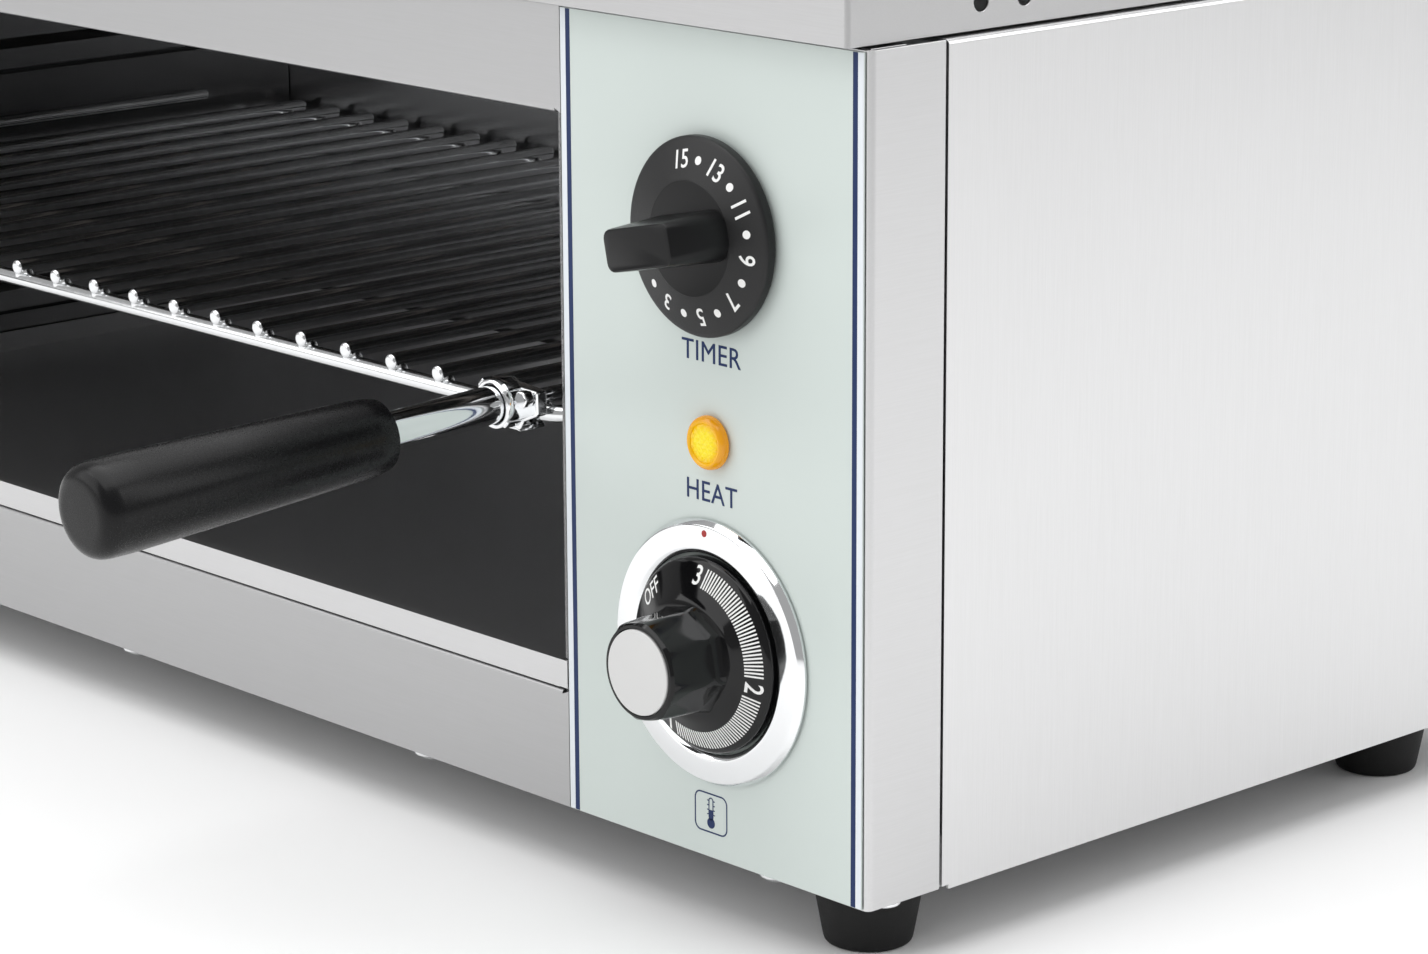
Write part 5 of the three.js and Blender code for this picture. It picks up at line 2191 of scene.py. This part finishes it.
# ---- Feet and screws ----------------------------------------------------------------------------
class Underside:
    """The rubber feet and the screws seen along the lower edge."""

    def build(self) -> None:
        """Builds the feet with their screws, and the dome-headed screws."""
        for place in ("front_left", "front_right", "rear_left", "rear_right"):
            self.foot(place)
        for screw in ("front_1", "front_2", "front_3", "front_4", "side"):
            self.screw(screw)

    def foot(self, place: str) -> None:
        """A tapered foot with a recess, a rounded sole and a moulded shoulder.

        Args:
            place: Which corner it stands at.
        """
        low, high = extent(f"foot_{place}")
        x, y = (low.x + high.x) / 2, (low.y + high.y) / 2
        bottom, top = low.z, high.z
        widest = (high.x - low.x) / 2
        sole, hole, recess, step = 12.0, 2.75, 5.2, 9.0
        corners = [
            (hole, top, 0.0),
            (hole, bottom + step, 0.3),
            (recess, bottom + step, 0.3),
            (recess, bottom, 0.5),
            (sole - 0.2, bottom, 1.6),
            (sole + 0.4, bottom + 3.0, 1.5),
            (widest - 0.15, top - 3.6, 1.0),
            (widest - 0.1, top - 0.4, 0.5),
            (widest - 1.0, top, 0.3),
            (hole, top, 0.0),
        ]
        made = turned(filleted(corners, 4), 64)
        bmesh.ops.translate(made, vec=(x, y, 0.0), verts=made.verts)
        Piece(f"rubber_{place}", RUBBER, replaces=(f"foot_{place}",), crease=45.0).build(made)
        low, high = extent(f"foot_screw_{place}")
        seat = low.z + 3.1
        pan = [(0, low.z, 0), (3.6, low.z, 1.4), (4.4, seat, 0.4), (0, seat, 0)]
        head = turned(filleted(pan, 4), 32)
        shank = rod(2.25, high.z - low.z - 2.6, 0.4, 20)
        bmesh.ops.translate(shank, vec=(0.0, 0.0, low.z + 2.6), verts=shank.verts)
        made = joined([head, shank])
        bmesh.ops.translate(made, vec=(x, y, 0.0), verts=made.verts)
        Piece(f"foot_bolt_{place}", ZINC, replaces=(f"foot_screw_{place}",)).build(made)

    def screw(self, place: str) -> None:
        """A dome-headed screw on its shank; its cross recess is not modelled.

        Args:
            place: Which screw it is.
        """
        low, high = extent(f"base_screw_{place}")
        x, y = (low.x + high.x) / 2, (low.y + high.y) / 2
        widest, shank = 4.5, 1.55
        corners = [(0.0, low.z, 0.0), (1.2, low.z, 0.6), (widest, -1.1, 1.6), (widest, -0.3, 0.2)]
        corners += [(shank, -0.3, 0.1), (shank, high.z, 0.3), (0.0, high.z, 0.0)]
        made = turned(filleted(corners, 5), 40)
        bmesh.ops.translate(made, vec=(x, y, 0.0), verts=made.verts)
        Piece(f"dome_screw_{place}", CHROME, replaces=(f"base_screw_{place}",)).build(made)


# ---- Studio -------------------------------------------------------------------------------------
@dataclass(frozen=True)
class SoftLamp:
    """A square soft lamp aimed at a point.

    Attributes:
        name: Its name.
        place: Where it hangs, in metres.
        target: What it points at.
        size: Its side.
        glow: How bright its face is, as a share of a white surface in full light.
    """

    name: str
    place: Point
    target: Point
    size: float
    glow: float

    def hang(self) -> None:
        """Hangs the lamp."""
        data = bpy.data.lights.new(self.name, "AREA")
        data.size = self.size
        data.energy = self.glow * math.pi * self.size**2
        lamp = bpy.data.objects.new(self.name, data)
        lamp.location = self.place
        aim = Vector(self.target) - Vector(self.place)
        lamp.rotation_euler = aim.to_track_quat("-Z", "Y").to_euler()
        bpy.context.scene.collection.objects.link(lamp)


SOFT_LAMPS = (
    SoftLamp("overhead", (0.0, -0.2, 2.2), (0.0, -0.2, 0.0), 2.8, 2.2),
    SoftLamp("right_rear", (1.5, 1.5, 1.25), (0.1, 0.0, 0.1), 1.5, 2.4),
    SoftLamp("front", (-1.3, -2.4, 1.6), (0.1, 0.0, 0.1), 2.8, 1.7),
)


@dataclass
class Studio:
    """The camera, the floor and the light."""

    position: Point = (1041.3, -732.6, 380.6)
    azimuth: float = 47.309
    depression: float = 14.27
    roll: float = -0.297
    lens: float = 107.2
    surround: float = 0.42

    def build(self) -> None:
        """Sets up the view, the floor and the lights."""
        self.camera()
        self.floor()
        self.light()
        settings = bpy.context.scene.view_settings
        settings.view_transform = "Standard"
        settings.look = "None"

    def camera(self) -> None:
        """The camera, from its place and the way that it looks."""
        a, e, r = (math.radians(v) for v in (self.azimuth, self.depression, self.roll))
        ahead = Vector((-math.sin(a) * math.cos(e), math.cos(a) * math.cos(e), -math.sin(e)))
        level = Vector((math.cos(a), math.sin(a), 0.0))
        up = level.cross(ahead)
        right = level * math.cos(r) + up * math.sin(r)
        top = up * math.cos(r) - level * math.sin(r)
        data = bpy.data.cameras.new("camera")
        data.lens = self.lens
        data.sensor_width = 36.0
        data.clip_start = 0.05
        data.clip_end = 50.0
        camera = bpy.data.objects.new("camera", data)
        place = TO_FRAME @ Vector(self.position)
        rows = [(right[i], top[i], -ahead[i], place[i]) for i in range(3)]
        camera.matrix_world = Matrix((*rows, (0.0, 0.0, 0.0, 1.0)))
        bpy.context.scene.collection.objects.link(camera)
        bpy.context.scene.camera = camera

    def floor(self) -> None:
        """A wide plain floor."""
        made = bmesh.new()
        bmesh.ops.create_grid(made, x_segments=1, y_segments=1, size=12.0)
        floor = bpy.data.objects.new("studio_floor", mesh_from(made, "studio_floor"))
        shader = Shader("studio_floor")
        shader.set(Roughness=0.9, Base_Color=(0.93, 0.93, 0.93, 1.0))
        floor.data.materials.append(shader.material)
        bpy.context.scene.collection.objects.link(floor)

    def light(self) -> None:
        """A dim pale surround and the large soft lamps."""
        world = bpy.data.worlds.new("studio")
        world.use_nodes = True
        background = world.node_tree.nodes["Background"]
        background.inputs["Color"].default_value = (1.0, 1.0, 1.0, 1.0)
        background.inputs["Strength"].default_value = self.surround
        bpy.context.scene.world = world
        for lamp in SOFT_LAMPS:
            lamp.hang()


def main() -> None:
    """Builds the studio and every sub-assembly in order."""
    logging.basicConfig(level=logging.INFO, format="%(name)s: %(message)s")
    Studio().build()
    Casing().build()
    Cavity().build()
    WireRack().build()
    Handle("left", -1).build()
    Handle("right", 1).build()
    CrumbTray().build()
    HeatingElements().build()
    ControlPanel().build()
    Timer().build()
    Regulator().build()
    PilotLamp().build()
    Wiring().build()
    Underside().build()


if __name__ == "__main__":
    main()
